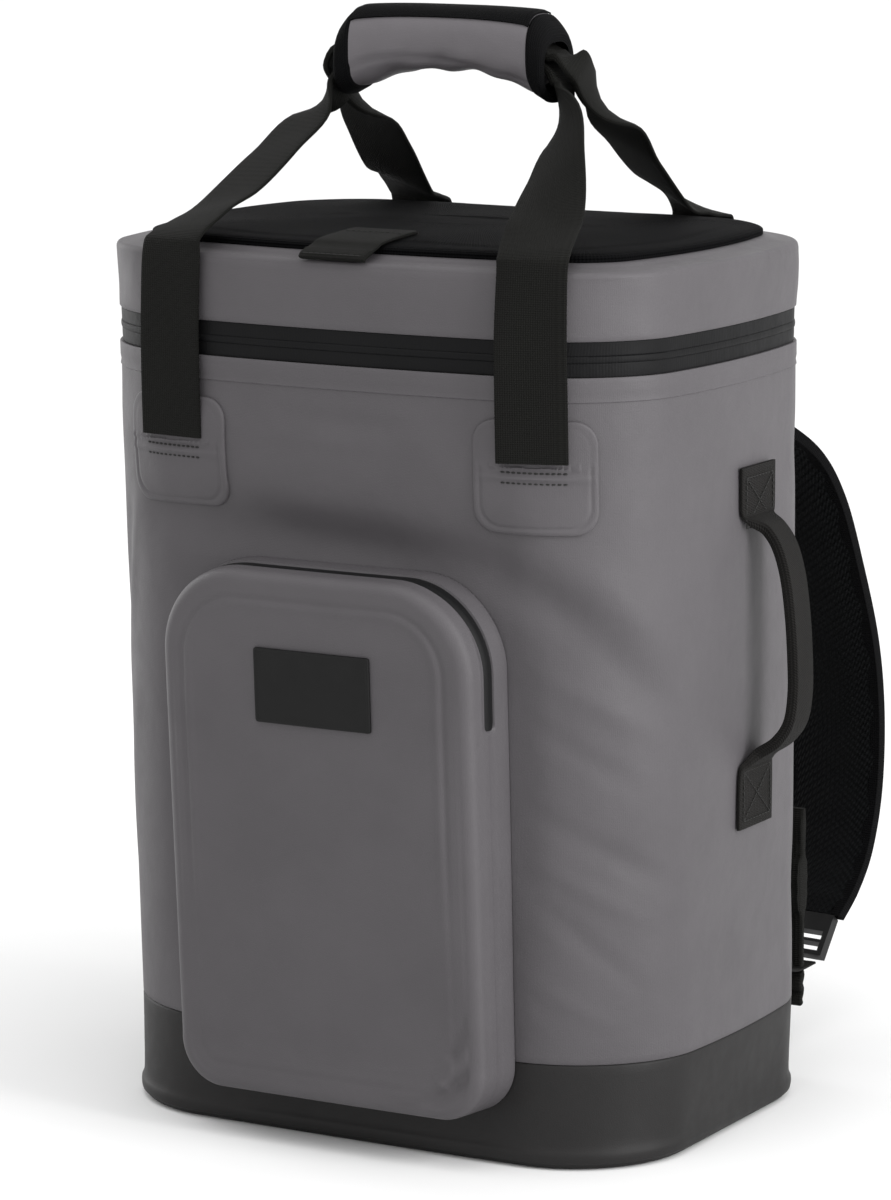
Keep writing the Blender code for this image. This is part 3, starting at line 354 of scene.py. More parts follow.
def row_at(rows, share):
    """The further columns of a table where its first one reaches share."""
    for low, high in zip(rows, rows[1:]):
        if share <= high[0]:
            break
    along = (share - low[0]) / (high[0] - low[0])
    return [lerp(a, b, along) for a, b in zip(low[1:], high[1:])]


def section_at(z):
    """Width, front, side bow, front bow and front corner of the body at height z."""
    width, front, side_bow, front_bow, corner = row_at(SECTIONS, z / BODY_HEIGHT)
    return (width * BODY_WIDTH, -front * BODY_DEPTH, side_bow * BODY_WIDTH,
            front_bow * BODY_DEPTH, corner * BODY_WIDTH)


def half_outline(z, inset=0.0):
    """Right half of the body's outline at height z, from front middle to back middle."""
    width, front, side_bow, front_bow, corner = section_at(z)
    half = width / 2 - inset
    front += inset
    back = BODY_DEPTH / 2 - inset
    middle = (front + back) / 2
    deep = (back - front) / 2
    front_round = max(corner - inset, LEAST_ROUND * corner)
    back_round = max(BACK_CORNER - inset, LEAST_ROUND * BACK_CORNER)
    flat = straight((0.0, -deep), (half - front_round, -deep), FRONT_STEPS)
    flat += quarter(half - front_round, front_round - deep, front_round, -90, CORNER_STEPS)
    flat += straight((half, front_round - deep), (half, deep - back_round), SIDE_STEPS)
    flat += quarter(half - back_round, deep - back_round, back_round, 0, CORNER_STEPS)
    flat += straight((half - back_round, deep), (0.0, deep), BACK_STEPS) + [(0.0, deep)]
    points = []
    for x, y in flat:
        side = side_bow * (1 - (y / deep) ** 2) if x > 0 else 0.0
        out = front_bow * (1 - (x / half) ** 2) * max(-y / deep, 0.0)
        points.append((x + side, middle + y - out))
    return points


def outline(z, inset=0.0):
    """The body's whole outline at height z, counter-clockwise from front middle."""
    half = half_outline(z, inset)
    points = half + [(-x, y) for x, y in reversed(half[1:-1])]
    return [Vector((x, y, z)) for x, y in points]


def front_y(x, z):
    """The front wall's y at x and z, between its corners."""
    width, front, _, front_bow, _ = section_at(z)
    return front - front_bow * (1 - (2 * x / width) ** 2)


def side_x(y, z):
    """The side wall's x at y and z, between its corners."""
    width, front, side_bow, _, _ = section_at(z)
    middle = (front + BODY_DEPTH / 2) / 2
    deep = (BODY_DEPTH / 2 - front) / 2
    return width / 2 + side_bow * (1 - ((y - middle) / deep) ** 2)


def skin(points, run, z, out):
    """A point run metres along half an outline from its middle, and out from it."""
    left = abs(run)
    for (x0, y0), (x1, y1) in zip(points, points[1:]):
        step = math.hypot(x1 - x0, y1 - y0)
        if left <= step:
            share = left / step
            lean = math.copysign(out / step, x1 - x0) if x0 == 0.0 else out / step
            turn = 1 if points[0][1] < points[-1][1] else -1
            x = lerp(x0, x1, share) + turn * lean * (y1 - y0)
            y = lerp(y0, y1, share) - turn * lean * (x1 - x0)
            return Vector((math.copysign(x, run), y, z))
        left -= step
    return Vector((0.0, points[-1][1], z))


def front_skin(run, z, out):
    """A point on the front, run metres round from its middle and out from the wall."""
    return skin(half_outline(z), run, z, out)


def back_skin(run, z, out):
    """The same on the back."""
    return skin(half_outline(z)[::-1], run, z, out)


def rounded_box(low, high, radii, steps, upright, level):
    """Outline of a rectangle with round corners, counter-clockwise from its right foot.
    Radii are for the lower and the upper corners. It has these steps in each corner, up
    each side, and along its top and foot."""
    (low_u, low_v), (high_u, high_v) = low, high
    foot, top = radii
    corners = (
        (high_u - foot, low_v + foot, foot, -90, upright),
        (high_u - top, high_v - top, top, 0, level),
        (low_u + top, high_v - top, top, 90, upright),
        (low_u + foot, low_v + foot, foot, 180, level),
    )
    points = []
    for number, (u, v, radius, start, along) in enumerate(corners):
        points += quarter(u, v, radius, start, steps)
        leave = quarter(u, v, radius, start + 90, 1)[0]
        meet = quarter(*corners[(number + 1) % 4][:4], 1)[0]
        points += straight(leave, meet, along)
    return points


def smooth(rows, steps):
    """Rows of numbers along a smooth curve through the given rows."""
    padded = [rows[0]] + list(rows) + [rows[-1]]
    made = []
    for k in range(1, len(padded) - 2):
        p0, p1, p2, p3 = padded[k - 1:k + 3]
        for i in range(steps):
            t = i / steps
            made.append(tuple(
                0.5 * (2 * b + (c - a) * t + (2 * a - 5 * b + 4 * c - d) * t ** 2
                       + (3 * b - a - 3 * c + d) * t ** 3)
                for a, b, c, d in zip(p0, p1, p2, p3)
            ))
    made.append(tuple(rows[-1]))
    return made


def panel_base():
    """Height on which the top panel and the lid tab are placed."""
    return BODY_HEIGHT + RIM_RISE + GAP


def panel_height(inset):
    """Height of the top panel's face, inset metres in from its edge."""
    share = min(inset / RIM_WIDTH, PANEL_SHAPE[-1][0])
    edge, crown = row_at(PANEL_SHAPE[1:], share)
    return panel_base() + edge * PANEL_EDGE + crown * PANEL_CROWN


def web_places(front):
    """Where the two legs of a web stand on the wall, right and left."""
    middle = FRONT_WEB_MIDDLE if front else BACK_WEB_MIDDLE
    half = (FRONT_WEB_SPACING if front else BACK_WEB_SPACING) / 2
    return middle + half, middle - half


def web_level(front):
    """Height of a web's middle inside the grip. The back web lies over the front one."""
    middle = GRIP_TOP - GRIP_TALL_MIDDLE * 0.6
    return middle - WEB_THICK * 1.4 if front else middle + WEB_THICK * 1.2


def web_leg(front, side):
    """Rows of one leg of a carrying web, from its end on the wall to the grip's middle.
    Each row is a point, the width direction's turn in degrees, and the width's share."""
    facing = -1 if front else 1
    place = front_skin if front else back_skin
    lie = GAP * 4 + ANCHOR_THICK + WEB_THICK / 2
    run = web_places(front)[0 if side > 0 else 1]
    level = web_level(front)
    droop = GRIP_SHOULDER * (0.95 if front else 0.65)
    clear = GRIP_EXIT_FRONT if front else GRIP_EXIT_BACK
    end = Vector((side * (GRIP_LENGTH / 2 + clear), GRIP_MIDDLE + facing * WEB_THICK * 0.5,
                  level - droop - (WEB_THICK * 4.5 if front else WEB_THICK * 2)))
    ridge = place(run, BODY_HEIGHT, lie)
    rows = []
    for share in (0.0, 0.33, 0.67, 1.0):
        height = lerp(WEB_END_HEIGHT, BODY_HEIGHT, share)
        point = place(run, height, lie)
        ahead = place(run + WEB_THICK, height, lie) - place(run - WEB_THICK, height, lie)
        rows.append((*point, math.degrees(math.atan2(ahead.y, ahead.x)), 1.0))
    for along, inward, lift, wide, right, left in FRONT_LEG if front else BACK_LEG:
        rows.append((
            lerp(ridge.x, end.x, inward), lerp(ridge.y, end.y, along),
            lerp(ridge.z, end.z, lift), right if side > 0 else left, wide,
        ))
    rows.append((*end, -90, 0.0))
    rows.append((side * GRIP_LENGTH / 2, GRIP_MIDDLE, level - droop, -90, 0.0))
    inside = side * (GRIP_LENGTH / 2 - BINDING_WIDTH)
    rows.append((inside, GRIP_MIDDLE, level - droop * 0.35, -90, 0.0))
    crest = GRIP_TOP - GRIP_WALL - GAP - WEB_THICK * 2.3
    if front:
        crest -= WEB_THICK * 2 + GAP * 2
    rows.append((inside * 0.45, GRIP_MIDDLE, lerp(level, crest, 0.75), -90, 0.0))
    rows.append((0.0, GRIP_MIDDLE, crest, -90, 0.0))
    return smooth(rows, 6)


def grip_ring(x, grow):
    """The grip's section at x, grown outwards by grow."""
    share = abs(2 * x / GRIP_LENGTH)
    line = GRIP_TOP - GRIP_BOW * share ** 3
    bottom = line - lerp(GRIP_TALL_MIDDLE, GRIP_TALL_END, share ** 2.2)
    top = line - GRIP_SHOULDER * max((share - 0.8) / 0.2, 0.0) ** 2
    ring = []
    for i in range(GRIP_POINTS):
        turn = math.radians(360 * i / GRIP_POINTS)
        y = math.copysign(abs(math.cos(turn)) ** 0.75, math.cos(turn))
        z = math.copysign(abs(math.sin(turn)) ** 0.75, math.sin(turn))
        ring.append(Vector((
            x,
            GRIP_MIDDLE + y * (GRIP_DEPTH / 2 + grow),
            (top + bottom) / 2 + z * ((top - bottom) / 2 + grow),
        )))
    return ring


def pocket_point(x, z, share, out=0.0):
    """A point of the pocket between the tub's front and the pocket's panel."""
    foot = front_y(x, z) - GAP
    along = (z - POCKET_BOTTOM) / (POCKET_TOP - POCKET_BOTTOM)
    depth = lerp(POCKET_DEPTH_BOTTOM, POCKET_DEPTH, along)
    return Vector((x, foot - depth * share - out, z))


def pad_point(drop, out, spread):
    """A point on a shoulder strap's centre line, on the right."""
    x = lerp(PAD_INNER, PAD_SPREAD, spread)
    flat = YOKE_THICK + GAP * 4 + PAD_THICK / 2
    y = BODY_DEPTH / 2 + lerp(flat, PAD_REACH, out)
    z = lerp(PAD_TOP_HEIGHT, PAD_END_HEIGHT, drop)
    return Vector((x, y, z))


def srgb(red, green, blue):
    """Linear colour of an sRGB value from 0 to 255."""
    values = []
    for part in (red, green, blue):
        share = part / 255
        values.append(share / 12.92 if share < 0.04045 else ((share + 0.055) / 1.055) ** 2.4)
    return (*values, 1.0)


class Look:
    """A short way to build a material's node tree."""

    def __init__(self, name, roughness, shine):
        self.material = bpy.data.materials.new(name)
        self.material.use_nodes = True
        self.tree = self.material.node_tree
        self.shader = self.tree.nodes["Principled BSDF"]
        self.shader.inputs["Roughness"].default_value = roughness
        self.shader.inputs["Specular IOR Level"].default_value = shine
        self.places = self.add("ShaderNodeTexCoord").outputs

    def add(self, kind, **values):
        made = self.tree.nodes.new(kind)
        for key, value in values.items():
            if hasattr(made, key):
                setattr(made, key, value)
            else:
                made.inputs[key.replace("_", " ")].default_value = value
        return made

    def link(self, out, into):
        self.tree.links.new(out, into)

    def lengths(self):
        """Metres across and along a strap or a skin, from its UVs."""
        split = self.add("ShaderNodeSeparateXYZ")
        self.link(self.places["UV"], split.inputs["Vector"])
        return split.outputs["X"], split.outputs["Y"]

    def texture(self, kind, output, **values):
        made = self.add(kind, **values)
        self.link(self.places["Object"], made.inputs["Vector"])
        return made.outputs[output]

    def noise(self, scale, detail, roughness=0.55):
        return self.texture("ShaderNodeTexNoise", "Fac", Scale=scale, Detail=detail,
                            Roughness=roughness)

    def wave(self, scale, direction):
        return self.texture("ShaderNodeTexWave", "Fac", Scale=scale, bands_direction=direction)

    def math(self, operation, *values):
        made = self.add("ShaderNodeMath", operation=operation)
        for socket, value in zip(made.inputs, values):
            if isinstance(value, float):
                socket.default_value = value
            else:
                self.link(value, socket)
        return made.outputs[0]

    def ribs(self, value, pitch):
        """A sine of a length, repeating at every pitch."""
        return self.math("SINE", self.math("MULTIPLY", value, 2 * math.pi / pitch))

    def mixed(self, one, other, share):
        return self.math("ADD", self.math("MULTIPLY", one, share),
                         self.math("MULTIPLY", other, 1 - share))

    def spread(self, value, low, high, **reach):
        made = self.add("ShaderNodeMapRange", To_Min=low, To_Max=high, **reach)
        self.link(value, made.inputs["Value"])
        return made.outputs["Result"]

    def colour(self, value, colour, *stops):
        """Stops are (place, how much lighter or darker than the colour)."""
        made = self.add("ShaderNodeValToRGB")
        elements = made.color_ramp.elements
        while len(elements) < len(stops):
            elements.new(0.5)
        for element, (place, factor) in zip(elements, stops):
            element.position = place
            element.color = tone(colour, factor)
        self.link(value, made.inputs["Fac"])
        self.link(made.outputs["Color"], self.shader.inputs["Base Color"])

    def rough(self, scale, low, high):
        self.link(self.spread(self.noise(scale, 3.0), low, high), self.shader.inputs["Roughness"])

    def bump(self, *layers):
        """Layers are (height output, distance in metres), the coarsest first."""
        before = None
        for height, distance in layers:
            made = self.add("ShaderNodeBump", Distance=distance, Strength=1.0)
            self.link(height, made.inputs["Height"])
            if before:
                self.link(before, made.inputs["Normal"])
            before = made.outputs["Normal"]
        self.link(before, self.shader.inputs["Normal"])


def tone(value, factor):
    """A colour made lighter or darker."""
    return (value[0] * factor, value[1] * factor, value[2] * factor, 1.0)


def coated_look(name, colour):
    """Matt coated fabric: a faint close grain, soft blotches and slight creasing."""
    look = Look(name, 0.52, 0.25)
    look.colour(look.noise(14.0, 4.0), colour, (0.30, 0.93), (0.50, 1.0), (0.72, 1.06))
    look.rough(60.0, 0.46, 0.62)
    weave = look.math("MULTIPLY", look.wave(420.0, "X"), look.wave(420.0, "Z"))
    look.bump((look.noise(32.0, 3.0, 0.5), 0.0010), (weave, 0.00003),
              (look.noise(1500.0, 2.0), 0.00012))
    return look.material


def web_look(name, colour, pitch=0.0011, chevron=0.0, shine=0.12):
    """Woven webbing, read along its own length: ribs across it and fine warp threads. Its colour
    is darker in the grooves between the ribs as painted shade and lighter on their crests as
    painted highlight.
    """
    look = Look(name, 0.78, shine)
    across, along = look.lengths()
    slant = look.math("MULTIPLY", look.math("ABSOLUTE", across), chevron)
    rib = look.ribs(look.math("ADD", along, slant), pitch)
    height = look.mixed(rib, look.ribs(across, pitch * 0.9), 0.6)
    worn = look.spread(look.noise(30.0, 4.0), -0.18, 0.18)
    # Colour follows the ribs' height: painted shade in the grooves and painted highlight on the
    # crests, plus worn patches of random tone.
    shade = look.math("ADD", look.spread(height, 0.35, 0.75), worn)
    look.colour(shade, colour, (0.0, 0.55), (0.55, 1.0), (1.0, 1.55))
    look.bump((height, 0.00022), (look.noise(2200.0, 2.0), 0.00010))
    return look.material


def mesh_look(name, colour):
    """Ribbed air mesh: slanting ribs with rows of small holes between them. Its colour is darker
    in the holes and grooves as painted shade and lighter on the rib tops as painted highlight.
    """
    look = Look(name, 0.85, 0.10)
    across, along = look.lengths()
    rib = look.ribs(look.math("ADD", along, look.math("MULTIPLY", across, 0.8)), 0.0042)
    holes = look.math("MULTIPLY", rib, look.ribs(across, 0.0026))
    height = look.mixed(rib, holes, 0.5)
    # Colour follows the mesh's height: painted shade in the holes and grooves, painted highlight
    # on the rib tops.
    look.colour(look.spread(height, 0.3, 0.8), colour, (0.0, 0.35), (0.5, 1.0), (1.0, 2.4))
    look.bump((height, 0.0007), (look.noise(1800.0, 2.0), 0.00012))
    return look.material


def rubber_look(name, colour, roughness, grain=0.00004):
    """Moulded rubber or plastic with a fine spark grain and slight scuffing."""
    look = Look(name, roughness, 0.22)
    look.colour(look.noise(22.0, 5.0), colour, (0.3, 0.88), (0.6, 1.0), (0.8, 1.18))
    look.rough(90.0, roughness - 0.07, roughness + 0.08)
    look.bump((look.noise(40.0, 2.0), 0.0005), (look.noise(1600.0, 2.0), grain))
    return look.material


def zip_look(name, colour):
    """Coated zip tape with a slight sheen. The coil's ribs run along its length."""
    look = Look(name, 0.50, 0.10)
    look.colour(look.noise(18.0, 3.0), colour, (0.3, 0.85), (0.7, 1.15))
    look.rough(50.0, 0.44, 0.60)
    teeth = look.ribs(look.lengths()[0], 0.0016)
    look.bump((look.noise(70.0, 3.0), 0.0006), (teeth, 0.00002))
    return look.material


GREY = srgb(74, 71.5, 74)
LOOKS = {
    "coated_fabric": coated_look("coated_fabric_look", GREY),
    "boot_rubber": rubber_look("boot_look", srgb(27, 26, 26), 0.55, 0.00010),
    "webbing": web_look("webbing_look", srgb(15, 15, 13)),
    "handle_web": web_look("handle_web_look", srgb(24, 23, 22), 0.0014, 0.6),
    "panel_fabric": web_look("panel_look", srgb(8, 8, 9), 0.0016, shine=0.03),
    "pocket_zip": rubber_look("pocket_zip_look", srgb(6, 6, 7), 0.6),
    "zip_tape": zip_look("zip_look", srgb(13, 13, 14)),
    "binding": web_look("binding_look", srgb(11, 11, 12), 0.0013, shine=0.04),
    "label_rubber": rubber_look("label_look", srgb(8, 8, 8), 0.60),
    "pad_mesh": mesh_look("mesh_look", srgb(5, 6, 7)),
    "hard_black": rubber_look("hard_look", srgb(12, 12, 12), 0.42),
    "grip_wrap": coated_look("grip_look", tone(GREY, 1.55)),
    "thread": rubber_look("thread_look", srgb(34, 34, 33), 0.65),
}


def placed(name, mesh):
    """An object of the mesh that rides on the part, under a material slot's name."""
    outward(mesh)
    mesh.shade_smooth()
    made = bpy.data.objects.new(name, mesh)
    bpy.context.scene.collection.objects.link(made)
    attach(made, "root")
    return made


def surface(name, rings, look, nodes=(), closed=False, angle=42):
    """A smooth skin over rings of equal count, with its lengths in metres as UVs. It
    stands for the solids in nodes."""
    points = np.array([[tuple(p) for p in ring] for ring in rings])
    total, count = points.shape[:2]
    around = np.linalg.norm(np.roll(points, -1, axis=1) - points, axis=2).mean(axis=0)
    u = np.concatenate([[0.0], np.cumsum(around)])
    ahead = np.linalg.norm(np.roll(points, -1, axis=0) - points, axis=2).mean(axis=1)
    v = np.concatenate([[0.0], np.cumsum(ahead)])
    faces = []
    uvs = []
    for r in range(total if closed else total - 1):
        a = r * count
        b = ((r + 1) % total) * count
        for i in range(count):
            j = (i + 1) % count
            faces.append((a + i, a + j, b + j, b + i))
            uvs += [(u[i], v[r]), (u[i + 1], v[r]), (u[i + 1], v[r + 1]), (u[i], v[r + 1])]
    if not closed:
        for r, order in ((0, range(count - 1, -1, -1)), (total - 1, range(count))):
            faces.append(tuple(r * count + i for i in order))
            uvs += [tuple(points[r, i, :2]) for i in order]
    mesh = bpy.data.meshes.new(name)
    mesh.from_pydata(points.reshape(-1, 3).tolist(), [], faces)
    layer = mesh.uv_layers.new(name="lengths")
    layer.data.foreach_set("uv", np.array(uvs, dtype=np.float32).ravel())
    mesh.materials.append(LOOKS[look])
    mesh.update()
    made = placed(name, mesh)
    mesh.set_sharp_from_angle(angle=math.radians(angle))
    if nodes:
        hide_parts(*nodes)
    return made


def outward(mesh):
    """Turns the mesh inside out if its volume comes out negative."""
    corners = np.empty(len(mesh.vertices) * 3)
    mesh.vertices.foreach_get("co", corners)
    corners = corners.reshape(-1, 3)
    mesh.calc_loop_triangles()
    faces = np.empty(len(mesh.loop_triangles) * 3, dtype=np.int64)
    mesh.loop_triangles.foreach_get("vertices", faces)
    a, b, c = (corners[faces.reshape(-1, 3)[:, k]] for k in range(3))
    if np.einsum("ij,ij->i", a, np.cross(b, c)).sum() < 0:
        mesh.flip_normals()


def levels(low, high, step):
    """Heights from low to high about a step apart."""
    count = max(int(abs(high - low) / step), 1)
    return [lerp(low, high, i / count) for i in range(count + 1)]


def bell(distance, width):
    """1 at no distance, falling smoothly to nothing past the width."""
    return math.exp(-(distance / width) ** 2)


# Soft creases and swellings of the body. Run is measured round from the middle of
# the front, as a share of half the body's width, and height is a share of
# BODY_HEIGHT. Width is a share of BODY_WIDTH and rise is in millimetres.
BODY_FOLDS = (
    # run, height, end run, end height, width, rise
    (-0.66, 0.704, 0.50, 0.676, 0.046, -8.0),
    (0.50, 0.672, 0.86, 0.610, 0.036, -3.5),
    (-0.90, 0.800, 0.20, 0.780, 0.070, 1.7),
    (0.60, 0.730, 1.16, 0.560, 0.036, 2.1),
    (0.72, 0.630, 1.22, 0.470, 0.028, -1.8),
    (0.68, 0.560, 1.02, 0.490, 0.018, 1.3),
    (0.66, 0.500, 0.96, 0.430, 0.016, -1.1),
    (0.66, 0.400, 1.06, 0.320, 0.018, -1.4),
    (0.64, 0.350, 0.98, 0.280, 0.014, 1.1),
    (0.66, 0.300, 0.94, 0.210, 0.014, -1.2),
    (0.63, 0.210, 0.88, 0.160, 0.012, 0.8),
    (0.61, 0.620, 0.61, 0.250, 0.030, -1.4),
    (-0.63, 0.600, -0.63, 0.200, 0.024, -1.2),
    (-0.86, 0.720, -1.02, 0.540, 0.020, -1.7),
    (-0.82, 0.700, -0.90, 0.560, 0.014, 0.9),
    (-0.86, 0.500, -0.98, 0.300, 0.026, 0.9),
    (-0.36, 0.846, 0.30, 0.842, 0.008, 0.7),
    (-0.20, 0.828, 0.34, 0.822, 0.009, -0.8),
    (-0.30, 0.806, 0.20, 0.800, 0.010, 0.6),
    (0.20, 0.850, 0.46, 0.760, 0.030, 0.9),
    (1.04, 0.820, 1.16, 0.640, 0.030, -0.9),
    (1.30, 0.300, 2.20, 0.240, 0.060, -1.0),
    (1.42, 0.790, 2.10, 0.760, 0.040, -1.0),
    (-1.30, 0.300, -2.20, 0.240, 0.060, -1.0),
    (-1.42, 0.790, -2.10, 0.760, 0.040, -1.0),
    (2.70, 0.640, 3.40, 0.600, 0.080, -1.0),
    (-2.70, 0.560, -3.40, 0.600, 0.080, -1.0),
    (2.60, 0.330, 3.40, 0.300, 0.100, 1.0),
)


def near_fold(u, v, start, end):
    """How far along a fold its nearest point lies, as a share, and the distance to it."""
    (u0, v0), (u1, v1) = start, end
    share = ((u - u0) * (u1 - u0) + (v - v0) * (v1 - v0)) / math.hypot(u1 - u0, v1 - v0) ** 2
    share = min(max(share, 0.0), 1.0)
    return share, math.hypot(u - lerp(u0, u1, share), v - lerp(v0, v1, share))


def fold_rise(run, z, table):
    """How far the folds in a table push the body out at a run and a height."""
    total = 0.0
    half = BODY_WIDTH / 2
    for run_0, high_0, run_1, high_1, width, rise in table:
        share, away = near_fold(run, z, (run_0 * half, high_0 * BODY_HEIGHT),
                                (run_1 * half, high_1 * BODY_HEIGHT))
        wide = width * BODY_WIDTH
        if away < wide * FOLD_REACH:
            swell = lerp(FOLD_ENDS, 1.0, math.sin(math.pi * share))
            total += rise * MM * bell(away, wide) * swell
    return total


def fold_fade(z):
    """How much of the body's folds is left at a height, between the boot and the weld."""
    seam = ZIP_CENTRE - ZIP_BAND / 2 - GAP - WELD_BAND
    fade = min((z - BOOT_HEIGHT) / FOLD_FADE_LOW, (seam - z) / FOLD_FADE_HIGH, 1.0)
    return max(fade, 0.0)


def body_rise(run, z):
    """How far the body's folds push its front out."""
    return fold_rise(run, z, BODY_FOLDS) * fold_fade(z)


def on_front(run, z, out):
    """A point over the folded front, as far out as told."""
    return front_skin(run, z, out + body_rise(run, z))


def pocket_spot(x, z, share, out=0.0):
    """A point of the pocket whose foot follows the body's folds."""
    point = pocket_point(x, z, share, out)
    point.y -= body_rise(x, z) * (1 - share)
    return point


def pushed(z, table, fade):
    """The body's outline at height z, pushed out by its folds."""
    points = np.array([(p.x, p.y) for p in outline(z)])
    after = np.roll(points, -1, axis=0)
    along = after - np.roll(points, 1, axis=0)
    along /= np.linalg.norm(along, axis=1)[:, None]
    normal = np.stack([along[:, 1], -along[:, 0]], axis=1)
    steps = np.linalg.norm(after - points, axis=1)
    runs = np.concatenate([[0.0], np.cumsum(steps)[:-1]])
    whole = steps.sum()
    runs = np.where(runs > whole / 2, runs - whole, runs)
    rise = np.array([fold_rise(run, z, table) for run in runs]) * fade
    return [Vector((x, y, z)) for x, y in points + normal * rise[:, None]]


def body():
    """The tub's fabric, with soft folds, a weld seam under the zip and its inside."""
    shoulder = ZIP_CENTRE - ZIP_BAND / 2 - GAP
    seam = shoulder - WELD_BAND
    foot = BOOT_FLOOR + GAP
    behind_boot = BOOT_WALL + GAP
    behind_zip = ZIP_RECESS + ZIP_THICK + GAP
    mouth = ZIP_CENTRE - GAP / 2
    rings = [outline(foot, behind_boot + BOOT_FOOT_IN), outline(foot + BOOT_FOOT_IN, behind_boot),
             outline(BOOT_HEIGHT - GAP, behind_boot), outline(BOOT_HEIGHT + GAP, WELD_RAISE)]
    rings += [pushed(z, BODY_FOLDS, fold_fade(z))
              for z in levels(BOOT_HEIGHT + GAP * 4, seam - WELD_RAISE, 0.0030)]
    for z in levels(seam, shoulder - WELD_RAISE, 0.0020):
        groove = abs(z - lerp(seam, shoulder, 0.25)) < 0.0012
        rings.append(outline(z, WELD_RAISE * (0.8 if groove else 0.0) - WELD_RAISE))
    rings += [outline(shoulder, -WELD_RAISE * 0.3), outline(shoulder, behind_zip),
              outline(mouth, behind_zip), outline(mouth, WALL)]
    rings += [outline(z, WALL) for z in levels(mouth - 0.004, foot + WALL + BOOT_FOOT_IN, 0.04)]
    rings.append(outline(foot + WALL, WALL + BOOT_FOOT_IN))
    surface("body_fabric", rings, "coated_fabric", ["body_shell"])


def boot():
    """The moulded boot with a rounded lip and a fine top edge."""
    rings = [outline(0.0, BOOT_FOOT_IN), outline(BOOT_FOOT_IN * 0.10, BOOT_FOOT_IN * 0.62),
             outline(BOOT_FOOT_IN * 0.35, BOOT_FOOT_IN * 0.22), outline(BOOT_FOOT_IN * 0.7, 0.0)]
    rings += [outline(BOOT_LIP_HEIGHT * s, -BOOT_LIP * r) for s, r in (
        (0.40, 0.75), (0.62, 0.97), (0.80, 1.00), (0.95, 0.92), (1.05, 0.65), (1.18, 0.30),
        (1.40, 0.08), (1.75, 0.0))]
    rings += [outline(z) for z in levels(BOOT_LIP_HEIGHT * 2, BOOT_HEIGHT - 0.0012, 0.004)]
    rings += [outline(BOOT_HEIGHT - 0.0005, 0.0002), outline(BOOT_HEIGHT, 0.0007),
              outline(BOOT_HEIGHT, BOOT_WALL)]
    rings += [outline(BOOT_FLOOR + BOOT_FOOT_IN, BOOT_WALL),
              outline(BOOT_FLOOR, BOOT_WALL + BOOT_FOOT_IN)]
    surface("boot_moulding", rings, "boot_rubber", ["base_boot"])


def zip_round():
    """Both tapes of the main zip and the coil between them."""
    low = ZIP_CENTRE - ZIP_BAND / 2
    high = ZIP_CENTRE + ZIP_BAND / 2
    half = COIL_WIDTH / 2
    rings = [outline(z, ZIP_RECESS + ZIP_GROOVE * bell(z - low, 0.002))
             for z in levels(low, ZIP_CENTRE - half * 1.4, 0.0012)]
    for share in (-1.2, -1.0, -0.8, -0.5, -0.2, 0.0, 0.2, 0.5, 0.8, 1.0, 1.2):
        groove = ZIP_GROOVE if abs(share) == 1.0 else 0.0
        swell = COIL_RISE * math.sqrt(max(1 - share ** 2, 0.0))
        rings.append(outline(ZIP_CENTRE + share * half, ZIP_RECESS + groove - swell))
    rings += [outline(z, ZIP_RECESS) for z in levels(ZIP_CENTRE + half * 1.4, high, 0.0012)]
    rings += [outline(high, ZIP_RECESS + ZIP_THICK), outline(low, ZIP_RECESS + ZIP_THICK)]
    surface("main_zip", rings, "zip_tape", ["zip_band"], closed=True)


LID_FOLDS = (
    # run, height, end run, end height, width, rise
    (-0.60, 0.975, 0.60, 0.970, 0.050, 0.8),
    (1.30, 0.960, 2.20, 0.965, 0.050, 0.9),
    (-1.30, 0.960, -2.20, 0.965, 0.050, 0.9),
    (0.80, 0.985, 1.10, 0.940, 0.030, -0.6),
    (-0.80, 0.985, -1.00, 0.940, 0.030, -0.6),
)


def lid():
    """The lid's grey side, its soft ridge and the rim round the top panel."""
    mouth = ZIP_CENTRE + GAP / 2
    shoulder = ZIP_CENTRE + ZIP_BAND / 2 + GAP
    behind_zip = ZIP_RECESS + ZIP_THICK + GAP
    soft = RIDGE_ROUND * 2.2
    rings = [outline(BODY_HEIGHT - LID_THICK, WALL), outline(mouth, WALL),
             outline(mouth, behind_zip), outline(shoulder, behind_zip), outline(shoulder, LID_HEM)]
    for z in levels(shoulder + 0.0008, BODY_HEIGHT - soft, 0.0025):
        fade = min((z - shoulder) / LID_FADE, (BODY_HEIGHT - z) / LID_FADE, 1.0)
        rings.append(pushed(z, LID_FOLDS, fade))
    for turn in range(0, 91, 18):
        angle = math.radians(turn)
        rings.append(outline(BODY_HEIGHT - soft * (1 - math.sin(angle)) + 0.0002,
                             soft * (1 - math.cos(angle)) * 0.8))
    base = RIM_WIDTH - RIDGE_ROUND * 2
    for share in (0.15, 0.35, 0.55, 0.75, 0.9, 1.0):
        ring = outline(BODY_HEIGHT, RIDGE_ROUND * 2 + base * share)
        seam = SEAM_DEPTH * bell(share - 0.62, 0.10)
        for p in ring:
            p.z = BODY_HEIGHT + RIM_RISE * share ** 1.15 - seam
        rings.append(ring)
    surface("lid_fabric", rings, "coated_fabric", ["lid"])


